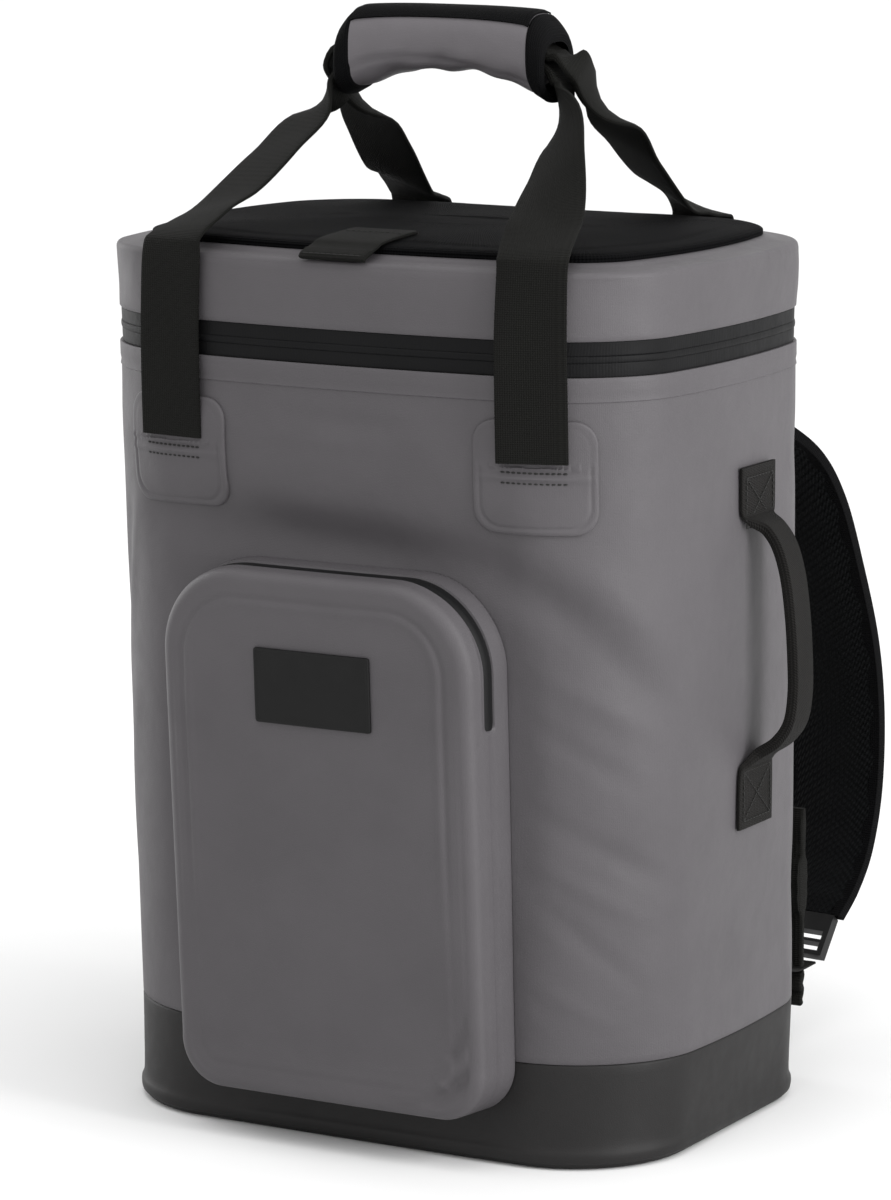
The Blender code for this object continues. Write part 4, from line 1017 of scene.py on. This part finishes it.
def top_panel():
    """The black padded top panel, softly domed, with a piped edge."""
    rings = []
    for inset, edge, crown in smooth(PANEL_SHAPE, 6):
        height = panel_base() + edge * PANEL_EDGE + crown * PANEL_CROWN
        height -= SEAM_DEPTH * bell(inset - 0.75, 0.07)
        share = min(inset / PANEL_SHAPE[-1][0] * 6, 1.0)
        ring = outline(BODY_HEIGHT, RIM_WIDTH * (1 + max(inset, 0.0)) + GAP)
        for p in ring:
            wave = 0.0006 * math.sin(p.x * 47 + 1.0) * math.sin(p.y * 61 + 0.4)
            p.z = height + wave * share
        rings.append(ring)
    surface("top_panel_fabric", rings, "panel_fabric", ["top_panel"])


def ahead_at(path, i):
    """The direction of a path at its point i."""
    return (path[min(i + 1, len(path) - 1)] - path[max(i - 1, 0)]).normalized()


def strap_rings(path, hints, widths, thicknesses, sheared=False):
    """Sections of a strap along path, with soft edges, as the solids' but finer."""
    half = ((-1.0, 0.30), (-0.985, 0.75), (-0.93, 1.0), (-0.62, 1.0), (-0.31, 1.0))
    shape = half + ((0.0, 1.0),) + tuple((-u, t) for u, t in half[::-1])
    rings = []
    for i, point in enumerate(path):
        ahead = ahead_at(path, i)
        across = hints[i].normalized()
        if not sheared:
            across = (across - ahead * across.dot(ahead)).normalized()
        normal = ahead.cross(across).normalized()
        rings.append([point + across * (u * widths[i] / 2)
                      + normal * (side * t * thicknesses[i] / 2)
                      for side in (1, -1) for u, t in shape[::side]])
    return rings


def strap(name, path, hints, widths, thicknesses, look, nodes):
    """A strap's surface. Its UVs count from the middle of its width."""
    rings = strap_rings(path, hints, widths, thicknesses)
    layer = surface(name, rings, look, nodes).data.uv_layers[0]
    values = np.empty(len(layer.data) * 2, dtype=np.float32)
    layer.data.foreach_get("uv", values)
    values = values.reshape(-1, 2)
    half = max(widths) / 2
    turned = values[:, 0] > 2 * half
    values[turned, 0] = 4 * half - values[turned, 0]
    values[:, 0] -= half
    layer.data.foreach_set("uv", values.ravel())


def stitches(name, lines, pitch=0.0032, radius=0.00032):
    """Rows of thread as one mesh. Each line is a list of (point, outward normal)."""
    points = []
    faces = []
    for line in lines:
        path = [p for p, _ in line]
        lengths = [0.0]
        for a, b in zip(path, path[1:]):
            lengths.append(lengths[-1] + (b - a).length)
        count = max(int(lengths[-1] / pitch), 1)
        for k in range(count):
            ends = []
            for share in (k + 0.08, k + 0.92):
                want = share / count * lengths[-1]
                i = min(max(np.searchsorted(lengths, want) - 1, 0), len(path) - 2)
                local = (want - lengths[i]) / max(lengths[i + 1] - lengths[i], 1e-9)
                ends.append((path[i].lerp(path[i + 1], local),
                             line[i][1].lerp(line[i + 1][1], local).normalized()))
            (a, n), (b, _) = ends
            side = (b - a).normalized().cross(n).normalized()
            base = len(points)
            for share, size, lift in ((0.0, 0.45, -0.5), (0.25, 1.0, 0.35), (0.75, 1.0, 0.35),
                                      (1.0, 0.45, -0.5)):
                middle = a.lerp(b, share) + n * radius * lift
                for turn in range(6):
                    angle = math.radians(60 * turn)
                    points.append(middle + (side * math.cos(angle) + n * math.sin(angle))
                                  * radius * size)
            for ring in range(3):
                for turn in range(6):
                    i = base + ring * 6 + turn
                    j = base + ring * 6 + (turn + 1) % 6
                    faces.append((i, j, j + 6, i + 6))
            faces.append(tuple(base + 5 - t for t in range(6)))
            faces.append(tuple(base + 18 + t for t in range(6)))
    mesh = bpy.data.meshes.new(name)
    mesh.from_pydata([tuple(p) for p in points], [], faces)
    mesh.materials.append(LOOKS["thread"])
    placed(name, mesh)


def lid_tab():
    """The tab over the lid's front edge, with a thick sewn hem."""
    ridge = front_y(TAB_OFF_CENTRE, BODY_HEIGHT)
    front = ridge - TAB_OVERHANG
    panel = ridge + RIM_WIDTH + GAP
    lie = TAB_THICK / 2 + GAP * 2
    low = BODY_HEIGHT + lie + TAB_THICK * 0.35
    rows = [
        (front, low - TAB_THICK * 0.4),
        (ridge + TAB_OVERHANG, low + RIM_RISE * 0.35),
        (lerp(ridge, panel, 0.62), low + RIM_RISE + PANEL_EDGE * 0.25),
        (panel - TAB_THICK * 0.6, panel_height(0.0) + lie + PANEL_EDGE * 0.25),
    ]
    for share in (0.45, 1.00, 1.70, 2.60):
        inset = share * RIM_WIDTH
        if panel + inset < front + TAB_LENGTH:
            rows.append((panel + inset, panel_height(inset) + lie))
    rows.append((front + TAB_LENGTH, panel_height(front + TAB_LENGTH - panel) + lie))
    path = [Vector((TAB_OFF_CENTRE, y, z)) for y, z in smooth(rows, 6)]
    count = len(path)
    hem = TAB_THICK * 4
    thicknesses = [TAB_THICK * (1.7 if (p - path[0]).length < hem else 1.0) for p in path]
    hints = [Vector((1.0, 0.0, 0.0))] * count
    strap("tab_over_lid", path, hints, [TAB_WIDTH] * count, thicknesses, "webbing", ["lid_tab"])
    lines = []
    for share in (0.10, 0.80):
        point = path[int(share * (count - 1))]
        ahead = path[int(share * (count - 1)) + 1] - point
        up = Vector((1.0, 0.0, 0.0)).cross(ahead).normalized()
        half = TAB_WIDTH * 0.44
        rise = up * (TAB_THICK * (0.85 if share < 0.15 else 0.5))
        lines.append([(point + rise + Vector((x, 0, 0)), up) for x in (-half, 0.0, half)])
    stitches("tab_stitches", lines)


def plate(name, edge, place, low, high, relief, look, nodes):
    """A soft welded patch over place(u, v, out). Relief(u, v, share) raises it more."""
    mid_u = sum(u for u, _ in edge) / len(edge)
    mid_v = sum(v for _, v in edge) / len(edge)

    def ring(share, out):
        made = []
        for u, v in edge:
            u, v = lerp(mid_u, u, share), lerp(mid_v, v, share)
            made.append(place(u, v, out(u, v, share)))
        return made

    rings = [ring(share, lambda u, v, _, part=part: lerp(low, high, part))
             for share, part in PLATE_EDGE]
    last = PLATE_EDGE[-1][0]
    rings += [ring(last * (1 - k / PLATE_STEPS), lambda u, v, share: high + relief(u, v, share))
              for k in range(1, PLATE_STEPS)]
    return surface(name, rings, look, nodes, angle=60)


def pressed(depth):
    """The relief of a patch with a line this deep beside its edge."""
    return lambda u, v, share: -depth * bell(share - PRESSED_PLACE, PRESSED_WIDTH)


def anchors():
    """The welded patches under the carrying webs, with two sewn ridges below the web."""
    half = ANCHOR_WIDTH / 2
    low = ANCHOR_TOP - ANCHOR_HEIGHT
    face = GAP * 2 + ANCHOR_THICK * 0.85
    lines = []
    for name, place, front in (("front", on_front, True), ("back", back_skin, False)):
        for end, run in zip(("right", "left"), web_places(front)):
            edge = rounded_box((run - half, low), (run + half, ANCHOR_TOP),
                               (ANCHOR_CORNER, ANCHOR_CORNER), 12, 15, 15)

            def relief(u, v, share, run=run):
                inside = bell(u - run, WEB_WIDTH * 0.50) ** 0.3
                rise = sum(SEWN_RISE * bell(v - (WEB_END_HEIGHT - drop), SEWN_WIDTH) * inside
                           for drop in SEWN_DROPS)
                puff = bell(v - (WEB_END_HEIGHT - PUFF_DROP), PUFF_HEIGHT)
                rise += PUFF_RISE * puff * bell(u - run, WEB_WIDTH * 0.55)
                rise -= 0.0005 * bell(share - 0.88, 0.030)
                return rise if v < WEB_END_HEIGHT - 0.002 else rise * 0.2

            title = name + "_anchor_" + end
            plate(title + "_patch", edge, place, GAP * 0.5, face, relief, "coated_fabric", [title])
            for drop in STITCH_DROPS:
                z = WEB_END_HEIGHT - drop
                line = []
                for k in range(9):
                    u = run + lerp(-0.46, 0.46, k / 8) * WEB_WIDTH
                    normal = (place(u, z, 0.01) - place(u, z, 0.0)).normalized()
                    line.append((place(u, z, face + STITCH_LIFT), normal))
                lines.append(line)
    stitches("anchor_stitches", lines, 0.0028, 0.00048)


def carrying_web(name, front):
    """One long web with its legs and the folded stretch through the grip."""
    rows = web_leg(front, 1) + web_leg(front, -1)[-2::-1]
    path = [Vector(row[:3]) for row in rows]
    hints = []
    for i, row in enumerate(rows):
        ahead = ahead_at(path, i)
        turn = math.radians(row[3])
        level = Vector((math.cos(turn), math.sin(turn), 0.0))
        level.z = -level.dot(ahead) * ahead.z / (ahead.z ** 2 + 0.02)
        hints.append(level)
    shares = [min(max(row[4], 0.0), 1.0) for row in rows]
    widths = [lerp(WEB_FOLDED, WEB_WIDTH, share) for share in shares]
    thicknesses = [lerp(WEB_THICK * 2, WEB_THICK, share) for share in shares]
    strap(name + "_woven", path, hints, widths, thicknesses, "webbing", [name])


def grip_tube(name, start, end, steps, look, node, grow=0.0, crumple=0.0):
    """A stretch of the grip as a tube. One that isn't crumpled is rounded at its ends."""
    places = [lerp(start, end, i / steps) for i in range(steps + 1)]
    outer = []
    for k, x in enumerate(places):
        edge = min(k, steps - k) / steps
        swell = grow if crumple else grow - GRIP_ROUNDING * bell(edge * 4, 0.35)
        ring = []
        for i, p in enumerate(grip_ring(x, swell)):
            turn = 2 * math.pi * i / GRIP_POINTS
            low = max(-math.sin(turn), 0.0)
            fold = crumple * low * math.sin(x * 210 + 1.3) * math.sin(turn * 3 + x * 60)
            fold -= crumple * 0.8 * bell(turn - 3.75 - 0.2 * math.sin(x * 40), 0.10)
            ring.append(Vector((x, p.y + fold * math.cos(turn), p.z + fold * math.sin(turn))))
        outer.append(ring)
    inner = [grip_ring(x, -GRIP_WALL) for x in reversed(places)]
    return surface(name, outer + inner, look, [node], closed=True, angle=70)


def grip():
    """The wrapped grip: grey coated wrap, bound ends and a bound top edge."""
    inside = GRIP_LENGTH / 2 - BINDING_WIDTH
    wrap = grip_tube("grip_wrap", -inside, inside, 60, "grip_wrap", "grip", crumple=GRIP_CRUMPLE)
    for end, start, stop in (("right", inside + GAP, GRIP_LENGTH / 2),
                             ("left", -GRIP_LENGTH / 2, -inside - GAP)):
        grip_tube("grip_binding_" + end, start, stop, 12, "binding", "grip_end_" + end,
                  BINDING_RAISE)
    top = slice(GRIP_POINTS // 4 - 3, GRIP_POINTS // 4 + 8)
    strip = []
    for i in range(41):
        x = lerp(-inside - GAP, inside + GAP, i / 40)
        strip.append(grip_ring(x, BINDING_RAISE * 1.6)[top] + grip_ring(x, 0.0002)[top][::-1])
    surface("grip_binding_top", strip, "binding", ["grip_top_binding"])


def pocket_edge(share, inset):
    """The pocket's outline a share of the way to its panel, moved in by inset."""
    taper = POCKET_TAPER * share + inset
    half = POCKET_WIDTH / 2 - taper
    top = POCKET_TOP - taper * 0.3 - inset * 0.7
    radii = [max(size - inset, LEAST_ROUND * size)
             for size in (POCKET_BOTTOM_CORNER, POCKET_TOP_CORNER)]
    return rounded_box((-half, POCKET_BOTTOM + inset), (half, top), radii, *POCKET_STEPS)


POCKET_FOLDS = (
    # across, height, end across, end height, width, rise in millimetres
    (0.66, 0.030, 0.97, 0.115, 0.016, -3.0),
    (0.72, 0.075, 0.98, 0.175, 0.013, 2.2),
    (0.80, 0.130, 0.99, 0.260, 0.014, -2.0),
    (0.84, 0.020, 0.99, 0.060, 0.014, 2.4),
    (0.50, 0.030, 0.74, 0.060, 0.016, 1.4),
    (-0.96, 0.300, -0.84, 0.050, 0.030, -1.2),
    (-0.90, 0.620, -0.70, 0.860, 0.030, 0.9),
    (-0.50, 0.500, 0.60, 0.450, 0.300, 1.8),
    (0.10, 0.930, 0.62, 0.900, 0.040, -0.9),
)


def pocket_rise(x, z):
    """How far the pocket's folds push its panel out."""
    half = POCKET_WIDTH / 2
    tall = POCKET_TOP - POCKET_BOTTOM
    total = 0.0
    for x0, z0, x1, z1, width, rise in POCKET_FOLDS:
        _, away = near_fold(x, z, (x0 * half, POCKET_BOTTOM + z0 * tall),
                            (x1 * half, POCKET_BOTTOM + z1 * tall))
        total += rise * MM * bell(away, width * tall)
    return total


def slot_share(z):
    """Width of the zip's groove at a height, rounded to nothing at its lower end."""
    near = min(max((z - SLOT_END_HEIGHT) / (SLOT_WIDTH / 2), 0.02), 1.0)
    return math.sqrt(1 - (1 - near) ** 2)


def sunk(x, z, deep):
    """A point of the pocket's outline moved in towards the pocket's middle."""
    away = math.hypot(x, z - POCKET_CENTRE)
    return x - deep * x / away, z - deep * (z - POCKET_CENTRE) / away


def plain_ring(share, inset):
    """The pocket's outline a share of the way to its panel, as points."""
    return [pocket_spot(x, z, share) for x, z in pocket_edge(share, inset)]


def groove_ring(side):
    """The zip's groove in the pocket's wall, from side -1 at its back to 1 at its front."""
    ring = []
    for x, z in pocket_edge(SLOT_MIDDLE, 0.0):
        share = SLOT_MIDDLE + side * SLOT_WIDTH / 2 / POCKET_DEPTH * slot_share(z)
        if z > SLOT_END_HEIGHT:
            x, z = sunk(x, z, SLOT_DEPTH * min((z - SLOT_END_HEIGHT) / SLOT_RAMP, 1.0))
        ring.append(pocket_spot(x, z, share))
    return ring


def panel_ring(step):
    """The pocket's panel: step by step inwards from its edge, and then to its middle."""
    inset = POCKET_EDGE + min(step, PANEL_STEPS) * PANEL_STEP
    left = 1.0 - max(step - PANEL_STEPS, 0) / MIDDLE_STEPS
    fade = min((inset - POCKET_EDGE) / PANEL_RAMP + 0.25, 1.0)
    line = 0.0
    if left == 1.0:
        line = (WELD_RIDGE * bell(inset - WELD_RIDGE_PLACE, 0.0022)
                - WELD_DEPTH * bell(inset - WELD_PLACE, 0.0013))
    ring = []
    for x, z in pocket_edge(1.0, inset):
        x, z = x * left, lerp(POCKET_CENTRE, z, left)
        strength = min(max((z - WELD_LOW) / WELD_RAMP, 0.25), 1.0)
        ring.append(pocket_spot(x, z, 1.0, line * strength + pocket_rise(x, z) * fade))
    return ring


def pocket():
    """The front pocket with its soft edge, inner weld line and zip groove."""
    half_slot = SLOT_WIDTH / 2 / POCKET_DEPTH
    reach = POCKET_EDGE / POCKET_DEPTH
    thick = POCKET_WALL / POCKET_DEPTH
    behind = 1.0 - thick * 1.4
    inside = POCKET_WALL + SLOT_DEPTH
    rows = [(behind, 0.070), (behind, 0.030), (behind, POCKET_EDGE + POCKET_WALL),
            (1.0 - reach - thick, inside), (0.0, inside), (0.0, 0.0012), (0.015, 0.0003)]
    rows += [(share, 0.0) for share in (0.04, 0.12, 0.20, 0.28)]
    rows += [(SLOT_MIDDLE - half_slot - away, 0.0) for away in (0.030, 0.008)]
    rings = [plain_ring(*row) for row in rows]
    rings += [groove_ring(side) for side in (-1.0, -0.5, 0.5, 1.0)]
    rows = [(SLOT_MIDDLE + half_slot + away, 0.0) for away in (0.008, 0.030)]
    rows += [(share, 0.0) for share in (0.68, 0.74, 0.80)]
    for turn in range(0, 91, 10):
        angle = math.radians(turn)
        rows.append((1 - reach * (1 - math.sin(angle)), POCKET_EDGE * (1 - math.cos(angle))))
    rings += [plain_ring(*row) for row in rows]
    rings += [panel_ring(step) for step in range(1, PANEL_STEPS + MIDDLE_STEPS)]
    surface("pocket_fabric", rings, "coated_fabric", ["front_pocket"], angle=50)


def pocket_zip():
    """The pocket's zip in its groove, over the top and part way down each side."""
    half = (SLOT_WIDTH / 2 - GAP) / POCKET_DEPTH
    rows = ((-1.0, 1.10), (1.0, 1.10), (1.0, 0.75), (0.55, 0.62), (0.35, 0.30), (0.0, 0.18),
            (-0.35, 0.30), (-0.55, 0.62), (-1.0, 0.75))
    rings = []
    for points in zip(*(pocket_edge(SLOT_MIDDLE + side * half, 0.0) for side, _ in rows)):
        ring = []
        for (side, depth), (x, z) in zip(rows, points):
            x, z = sunk(x, z, SLOT_DEPTH * depth)
            ring.append(pocket_spot(x, z, SLOT_MIDDLE + side * half * slot_share(z)))
        if min(p.z for p in ring) > SLOT_END_HEIGHT + GAP * 2:
            rings.append(ring)
    surface("pocket_zip_coil", rings, "pocket_zip", ["pocket_zip"])


def label():
    """The plain label with a fine raised border."""
    half = LABEL_WIDTH / 2
    tall = LABEL_HEIGHT / 2
    edge = rounded_box((LABEL_OFF_CENTRE - half, LABEL_CENTRE - tall),
                       (LABEL_OFF_CENTRE + half, LABEL_CENTRE + tall),
                       (LABEL_CORNER, LABEL_CORNER), 6, 11, 11)

    def place(u, v, out):
        return pocket_point(u, v, 1.0, out + pocket_rise(u, v))

    def relief(u, v, share):
        border = min(half - abs(u - LABEL_OFF_CENTRE), tall - abs(v - LABEL_CENTRE))
        return -0.0003 * min(max((border - 0.0011) / 0.0004, 0.0), 1.0)

    plate("label_patch", edge, place, GAP, GAP * 2 + LABEL_THICK, relief, "label_rubber",
          ["label"])


def side_handle(name, side):
    """A padded web handle and its two flat patches, with a boxed cross of stitches."""
    tall = SIDE_TOP - SIDE_BOTTOM
    patch = SIDE_PATCH / tall
    slim = SIDE_PATCH_THICK / 2 / SIDE_REACH
    rows = [(0.0, slim, 0.0), (patch * 0.45, slim, 0.0), (patch * 0.65, slim, 0.1), *SIDE_RUN,
            (1 - patch * 0.80, slim, 0.1), (1 - patch * 0.45, slim, 0.0), (1.0, slim, 0.0)]
    path = []
    widths = []
    thicknesses = []
    for drop, out, share in smooth(rows, 7):
        share = min(max(share, 0.0), 1.0)
        z = SIDE_TOP - drop * tall
        thick = lerp(SIDE_PATCH_THICK, SIDE_WEB_THICK, share)
        away = max(out * SIDE_REACH, thick / 2)
        path.append(Vector((side * (side_x(SIDE_MIDDLE, z) + GAP * 2 + away), SIDE_MIDDLE, z)))
        widths.append(lerp(SIDE_PATCH, SIDE_WEB_WIDTH, share))
        thicknesses.append(thick)
    hints = [Vector((0.0, 1.0, 0.0))] * len(path)
    strap(name + "_woven", path, hints, widths, thicknesses, "handle_web", [name])
    lines = []
    wide = SIDE_PATCH * 0.40
    high = SIDE_PATCH * 0.34
    box = [(-wide, -high), (wide, -high), (wide, high), (-wide, high), (-wide, -high)]
    for middle in (SIDE_TOP - SIDE_PATCH * 0.48, SIDE_BOTTOM + SIDE_PATCH * 0.45):
        for start, end in [*zip(box, box[1:]), (box[0], box[2]), (box[1], box[3])]:
            line = []
            for k in range(5):
                y = SIDE_MIDDLE + lerp(start[0], end[0], k / 4)
                z = middle + lerp(start[1], end[1], k / 4)
                x = side_x(SIDE_MIDDLE, z) + GAP * 2 + SIDE_PATCH_THICK + STITCH_LIFT
                line.append((Vector((side * x, y, z)), Vector((side, 0.0, 0.0))))
            lines.append(line)
    stitches(name + "_stitches", lines)


def yoke():
    """The patch high on the back from which the shoulder straps spring."""
    half = YOKE_WIDTH / 2
    low = PAD_TOP_HEIGHT - YOKE_HEIGHT / 2
    high = PAD_TOP_HEIGHT + YOKE_HEIGHT / 2
    edge = rounded_box((-half, low), (half, high), [YOKE_HEIGHT * 0.2] * 2, 6, 11, 11)

    plate("yoke_patch", edge, back_skin, GAP, GAP + YOKE_THICK, pressed(0.0006), "binding",
          ["strap_yoke"])
    lines = []
    for z in (low + 0.004, high - 0.004):
        y = BODY_DEPTH / 2 + GAP + YOKE_THICK
        lines.append([(Vector((x * half * 0.9, y, z)), Vector((0.0, 1.0, 0.0)))
                      for x in (-1.0, 0.0, 1.0)])
    stitches("yoke_stitches", lines)


def pad_section(point, across, normal, width, thickness):
    """A pad's section: crowned mesh faces between two bound edges."""
    half = ((-1.0, 0.20), (-0.985, 0.42), (-0.93, 0.52), (-0.80, 0.56), (-0.76, 0.62),
            (-0.60, 0.82), (-0.35, 0.95))
    shape = half + ((0.0, 1.0),) + tuple((-u, t) for u, t in half[::-1])
    return [point + across * (u * width / 2) + normal * (side * t * thickness / 2)
            for side in (1, -1) for u, t in shape[::side]]


def pad_rows(side, steps):
    """Points, spreads and widths along a pad's centre line, with these steps a row."""
    rows = []
    for drop, out, spread, wide in smooth(PAD_RUN, steps):
        spread = max(spread, 0.0)
        point = pad_point(drop, max(out, 0.0), spread)
        rows.append((Vector((side * point.x, point.y, point.z)), spread, wide * PAD_WIDTH))
    return rows


def shoulder_strap(end, side):
    """The padded strap of ribbed mesh, its bound edge, and what hangs under it."""
    path, spreads, widths = zip(*pad_rows(side, 10))
    hints = [Vector((1.0, side * -PAD_TURN * spread, 0.0)).normalized() for spread in spreads]
    rings = []
    edges = {-1: [], 1: []}
    for i, point in enumerate(path):
        ahead = ahead_at(path, i)
        normal = ahead.cross(hints[i]).normalized()
        close = min(i, len(path) - 1 - i) / 6
        thick = PAD_THICK * (1.0 if close >= 1 else 0.55 + 0.45 * close)
        thick *= 1.0 + 0.05 * math.sin(i * 0.9)
        rings.append(pad_section(point, hints[i], normal, widths[i], thick))
        for hand in edges:
            edges[hand].append((point + hints[i] * (hand * widths[i] * 0.455), normal, hints[i]))
    pad = surface("pad_" + end, rings, "pad_mesh", ["shoulder_pad_" + end])
    for hand, rows in edges.items():
        line = [p for p, _, _ in rows]
        wide = [PAD_WIDTH * 0.10] * len(line)
        thick = [PAD_EDGE + 0.0016] * len(line)
        tape = strap_rings(line, [h for _, _, h in rows], wide, thick, sheared=True)
        surface("pad_binding_%s_%s" % (end, "outer" if hand * side > 0 else "inner"), tape,
                "binding")
    lower_end(end, side)


def lower_end(end, side):
    """The lower web, its patch, its stowed tail and the two ends that hang free."""
    before, start = (point for point, _, _ in pad_rows(side, SOLID_PAD_STEPS)[-2:])
    ahead = (start - before).normalized()
    across = Vector((1.0, side * -PAD_TURN * PAD_RUN[-1][2], 0.0)).normalized()
    lock_end = start + ahead * (GAP * 2 + LOCK_LENGTH)
    low = LOWER_ANCHOR_HEIGHT - LOWER_PATCH_HEIGHT / 2
    half = LOWER_PATCH_WIDTH / 2
    centre = side * LOWER_ANCHOR_OUT
    edge = rounded_box((centre - half, low), (centre + half, low + LOWER_PATCH_HEIGHT),
                       [half * 0.25] * 2, 6, 9, 9)
    plate("lower_patch_" + end, edge, back_skin, GAP, GAP * 2 + LOWER_PATCH_THICK,
          pressed(0.0005), "coated_fabric", ["lower_anchor_" + end])
    lie = GAP * 6 + LOWER_PATCH_THICK + LOWER_WEB_THICK / 2
    foot = back_skin(centre, low + LOWER_PATCH_HEIGHT * 0.90, lie)
    head = back_skin(centre, low + LOWER_PATCH_HEIGHT * 0.40, lie)
    beside = back_skin(centre + WALL * 0.1, head.z, lie)
    along = (beside - head).normalized() * (1 if beside.x > head.x else -1)
    reach = lock_end + ahead * (LOWER_WEB_THICK * 2 + GAP * 3)
    sag = Vector((0.0, 0.0, LOWER_WEB_THICK * 4))
    rows = [
        (*foot, *along), (*head, *along),
        (*(head.lerp(reach, 0.12) - sag), *along),
        (*(head.lerp(reach, 0.55) - sag), *across), (*reach, *across),
    ]
    fine = smooth(rows, 14)
    path = [Vector(row[:3]) for row in fine]
    count = len(path)
    strap("lower_strap_" + end, path, [Vector(row[3:]) for row in fine],
          [LOWER_WEB_WIDTH] * count, [LOWER_WEB_THICK] * count, "webbing", ["lower_web_" + end])
    stowed_tail(end, [Vector(row[:3]) for row in smooth(rows, 4)])


def stowed_tail(end, path):
    """The rolled tail above the lower web and its two ends below."""
    place = path[0].y + (path[-1].y - path[0].y) * TAIL_ALONG
    near = min(range(len(path) - 1), key=lambda i: abs(path[i].y - place))
    share = (place - path[near].y) / (path[near + 1].y - path[near].y)
    level = path[near].lerp(path[near + 1], share)
    clear = LOWER_WEB_THICK / 2 + GAP
    slope = abs((path[near + 1].z - path[near].z) / (path[near + 1].y - path[near].y))
    across = Vector((1.0, 0.0, 0.0))
    start = level.z + clear + slope * BUNDLE_THICK * BUNDLE[-1][1] / 2 + GAP
    rows = smooth(BUNDLE, 8)
    points = [Vector((level.x, place, lerp(BUNDLE_TOP, start, drop))) for drop, _ in rows]
    thicknesses = []
    for k, (drop, thick) in enumerate(rows):
        ply = 1.0 - 0.10 * abs(math.sin(drop * math.pi * 9))
        thicknesses.append(max(thick, 0.12) * BUNDLE_THICK * ply)
    count = len(points)
    strap("rolled_tail_" + end, points, [across] * count, [LOWER_WEB_WIDTH] * count, thicknesses,
          "webbing", ["tail_bundle_" + end])
    thick = LOWER_WEB_THICK * 3
    under = level.z - clear - slope * thick / 2 - GAP
    steps = 16
    points = [Vector((level.x, place + 0.0009 * math.sin(k * 0.8),
                      lerp(under, TAIL_END_HEIGHT, k / steps))) for k in range(steps + 1)]
    thicknesses = [thick * (1.0 if k < 10 else 0.75) for k in range(steps + 1)]
    strap("hanging_tail_" + end, points, [across] * (steps + 1), [LOWER_WEB_WIDTH] * (steps + 1),
          thicknesses, "webbing", ["tail_end_" + end])


def keep_solid(name, look):
    """A moulded solid whose shape is right stays and gets its material."""
    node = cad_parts[name]
    node.data.materials.clear()
    node.data.materials.append(LOOKS[look])


def backdrop():
    """A pale floor, darker close to the bag as painted shade, and soft studio lights."""
    reach = 30.0
    low = -0.0002
    mesh = bpy.data.meshes.new("floor")
    mesh.from_pydata([(-reach, -reach, low), (reach, -reach, low), (reach, reach, low),
                      (-reach, reach, low)], [], [(0, 1, 2, 3)])
    floor = bpy.data.objects.new("floor", mesh)
    bpy.context.scene.collection.objects.link(floor)
    look = Look("floor_look", 0.9, 0.1)
    far = look.add("ShaderNodeVectorMath", operation="LENGTH")
    look.link(look.places["Object"], far.inputs[0])
    # The floor's colour is darker close to the bag and lighter far away: a painted shadow round
    # the bag's foot.
    floor_painted_shade = look.spread(far.outputs["Value"], 0.74, 0.93, From_Min=0.3, From_Max=2.2)
    look.link(floor_painted_shade, look.shader.inputs["Base Color"])
    mesh.materials.append(look.material)
    world = bpy.data.worlds.new("studio")
    bpy.context.scene.world = world
    world.use_nodes = True
    sky = world.node_tree.nodes["Background"].inputs
    sky["Color"].default_value = (1.0, 1.0, 1.0, 1.0)
    sky["Strength"].default_value = WORLD_STRENGTH
    for name, azimuth, height, distance, size, power in LIGHTS:
        light = bpy.data.lights.new(name, "AREA")
        light.shape = "RECTANGLE"
        light.size, light.size_y = size
        light.energy = power
        lamp = bpy.data.objects.new(name, light)
        turn = math.radians(azimuth)
        lamp.location = (distance * math.sin(turn), -distance * math.cos(turn), height)
        aim = Vector((0.0, 0.0, LIGHT_AIM)) - lamp.location
        lamp.rotation_euler = aim.to_track_quat("-Z", "Y").to_euler()
        bpy.context.scene.collection.objects.link(lamp)


WORLD_STRENGTH = 1.10
LIGHT_AIM = 0.25           # height that every light points at
# Azimuth 0 is in front of the pocket and 90 on the body's right side.
LIGHTS = (
    # name, azimuth, height, distance, size, power
    ("right_strip", 82, 0.75, 1.7, (0.7, 1.8), 33.0),
    ("left_strip", -100, 0.70, 1.8, (0.5, 1.6), 9.0),
    ("top_soft", 20, 2.10, 0.8, (1.6, 1.2), 12.0),
)

# The photograph's camera, fitted to the outline
CAMERA_YAW = 29.2608415
CAMERA_PITCH = 10.7105335
CAMERA_PLACE = (1.31117558, -2.32900685, 0.73943129)
CAMERA_LENS = 154.807
CAMERA_SHIFT = (-0.024617, 0.049955)
CAMERA_SENSOR = 36.0       # millimetres


def camera():
    """The camera at the photograph's angle, distance and framing."""
    made = bpy.data.cameras.new("camera")
    made.sensor_width = CAMERA_SENSOR
    made.sensor_fit = "AUTO"
    made.lens = CAMERA_LENS
    made.shift_x, made.shift_y = CAMERA_SHIFT
    made.clip_end = 100.0
    eye = bpy.data.objects.new("camera", made)
    eye.location = CAMERA_PLACE
    eye.rotation_euler = (math.radians(90 - CAMERA_PITCH), 0.0, math.radians(CAMERA_YAW))
    bpy.context.scene.collection.objects.link(eye)
    bpy.context.scene.camera = eye


camera()
backdrop()
bpy.context.scene.view_settings.view_transform = "Standard"
body()
boot()
zip_round()
lid()
top_panel()
lid_tab()
anchors()
carrying_web("handle_web_front", True)
carrying_web("handle_web_back", False)
grip()
pocket()
pocket_zip()
label()
side_handle("side_handle_right", 1)
side_handle("side_handle_left", -1)
yoke()
shoulder_strap("right", 1)
shoulder_strap("left", -1)
keep_solid("strap_buckle_right", "hard_black")
keep_solid("strap_buckle_left", "hard_black")
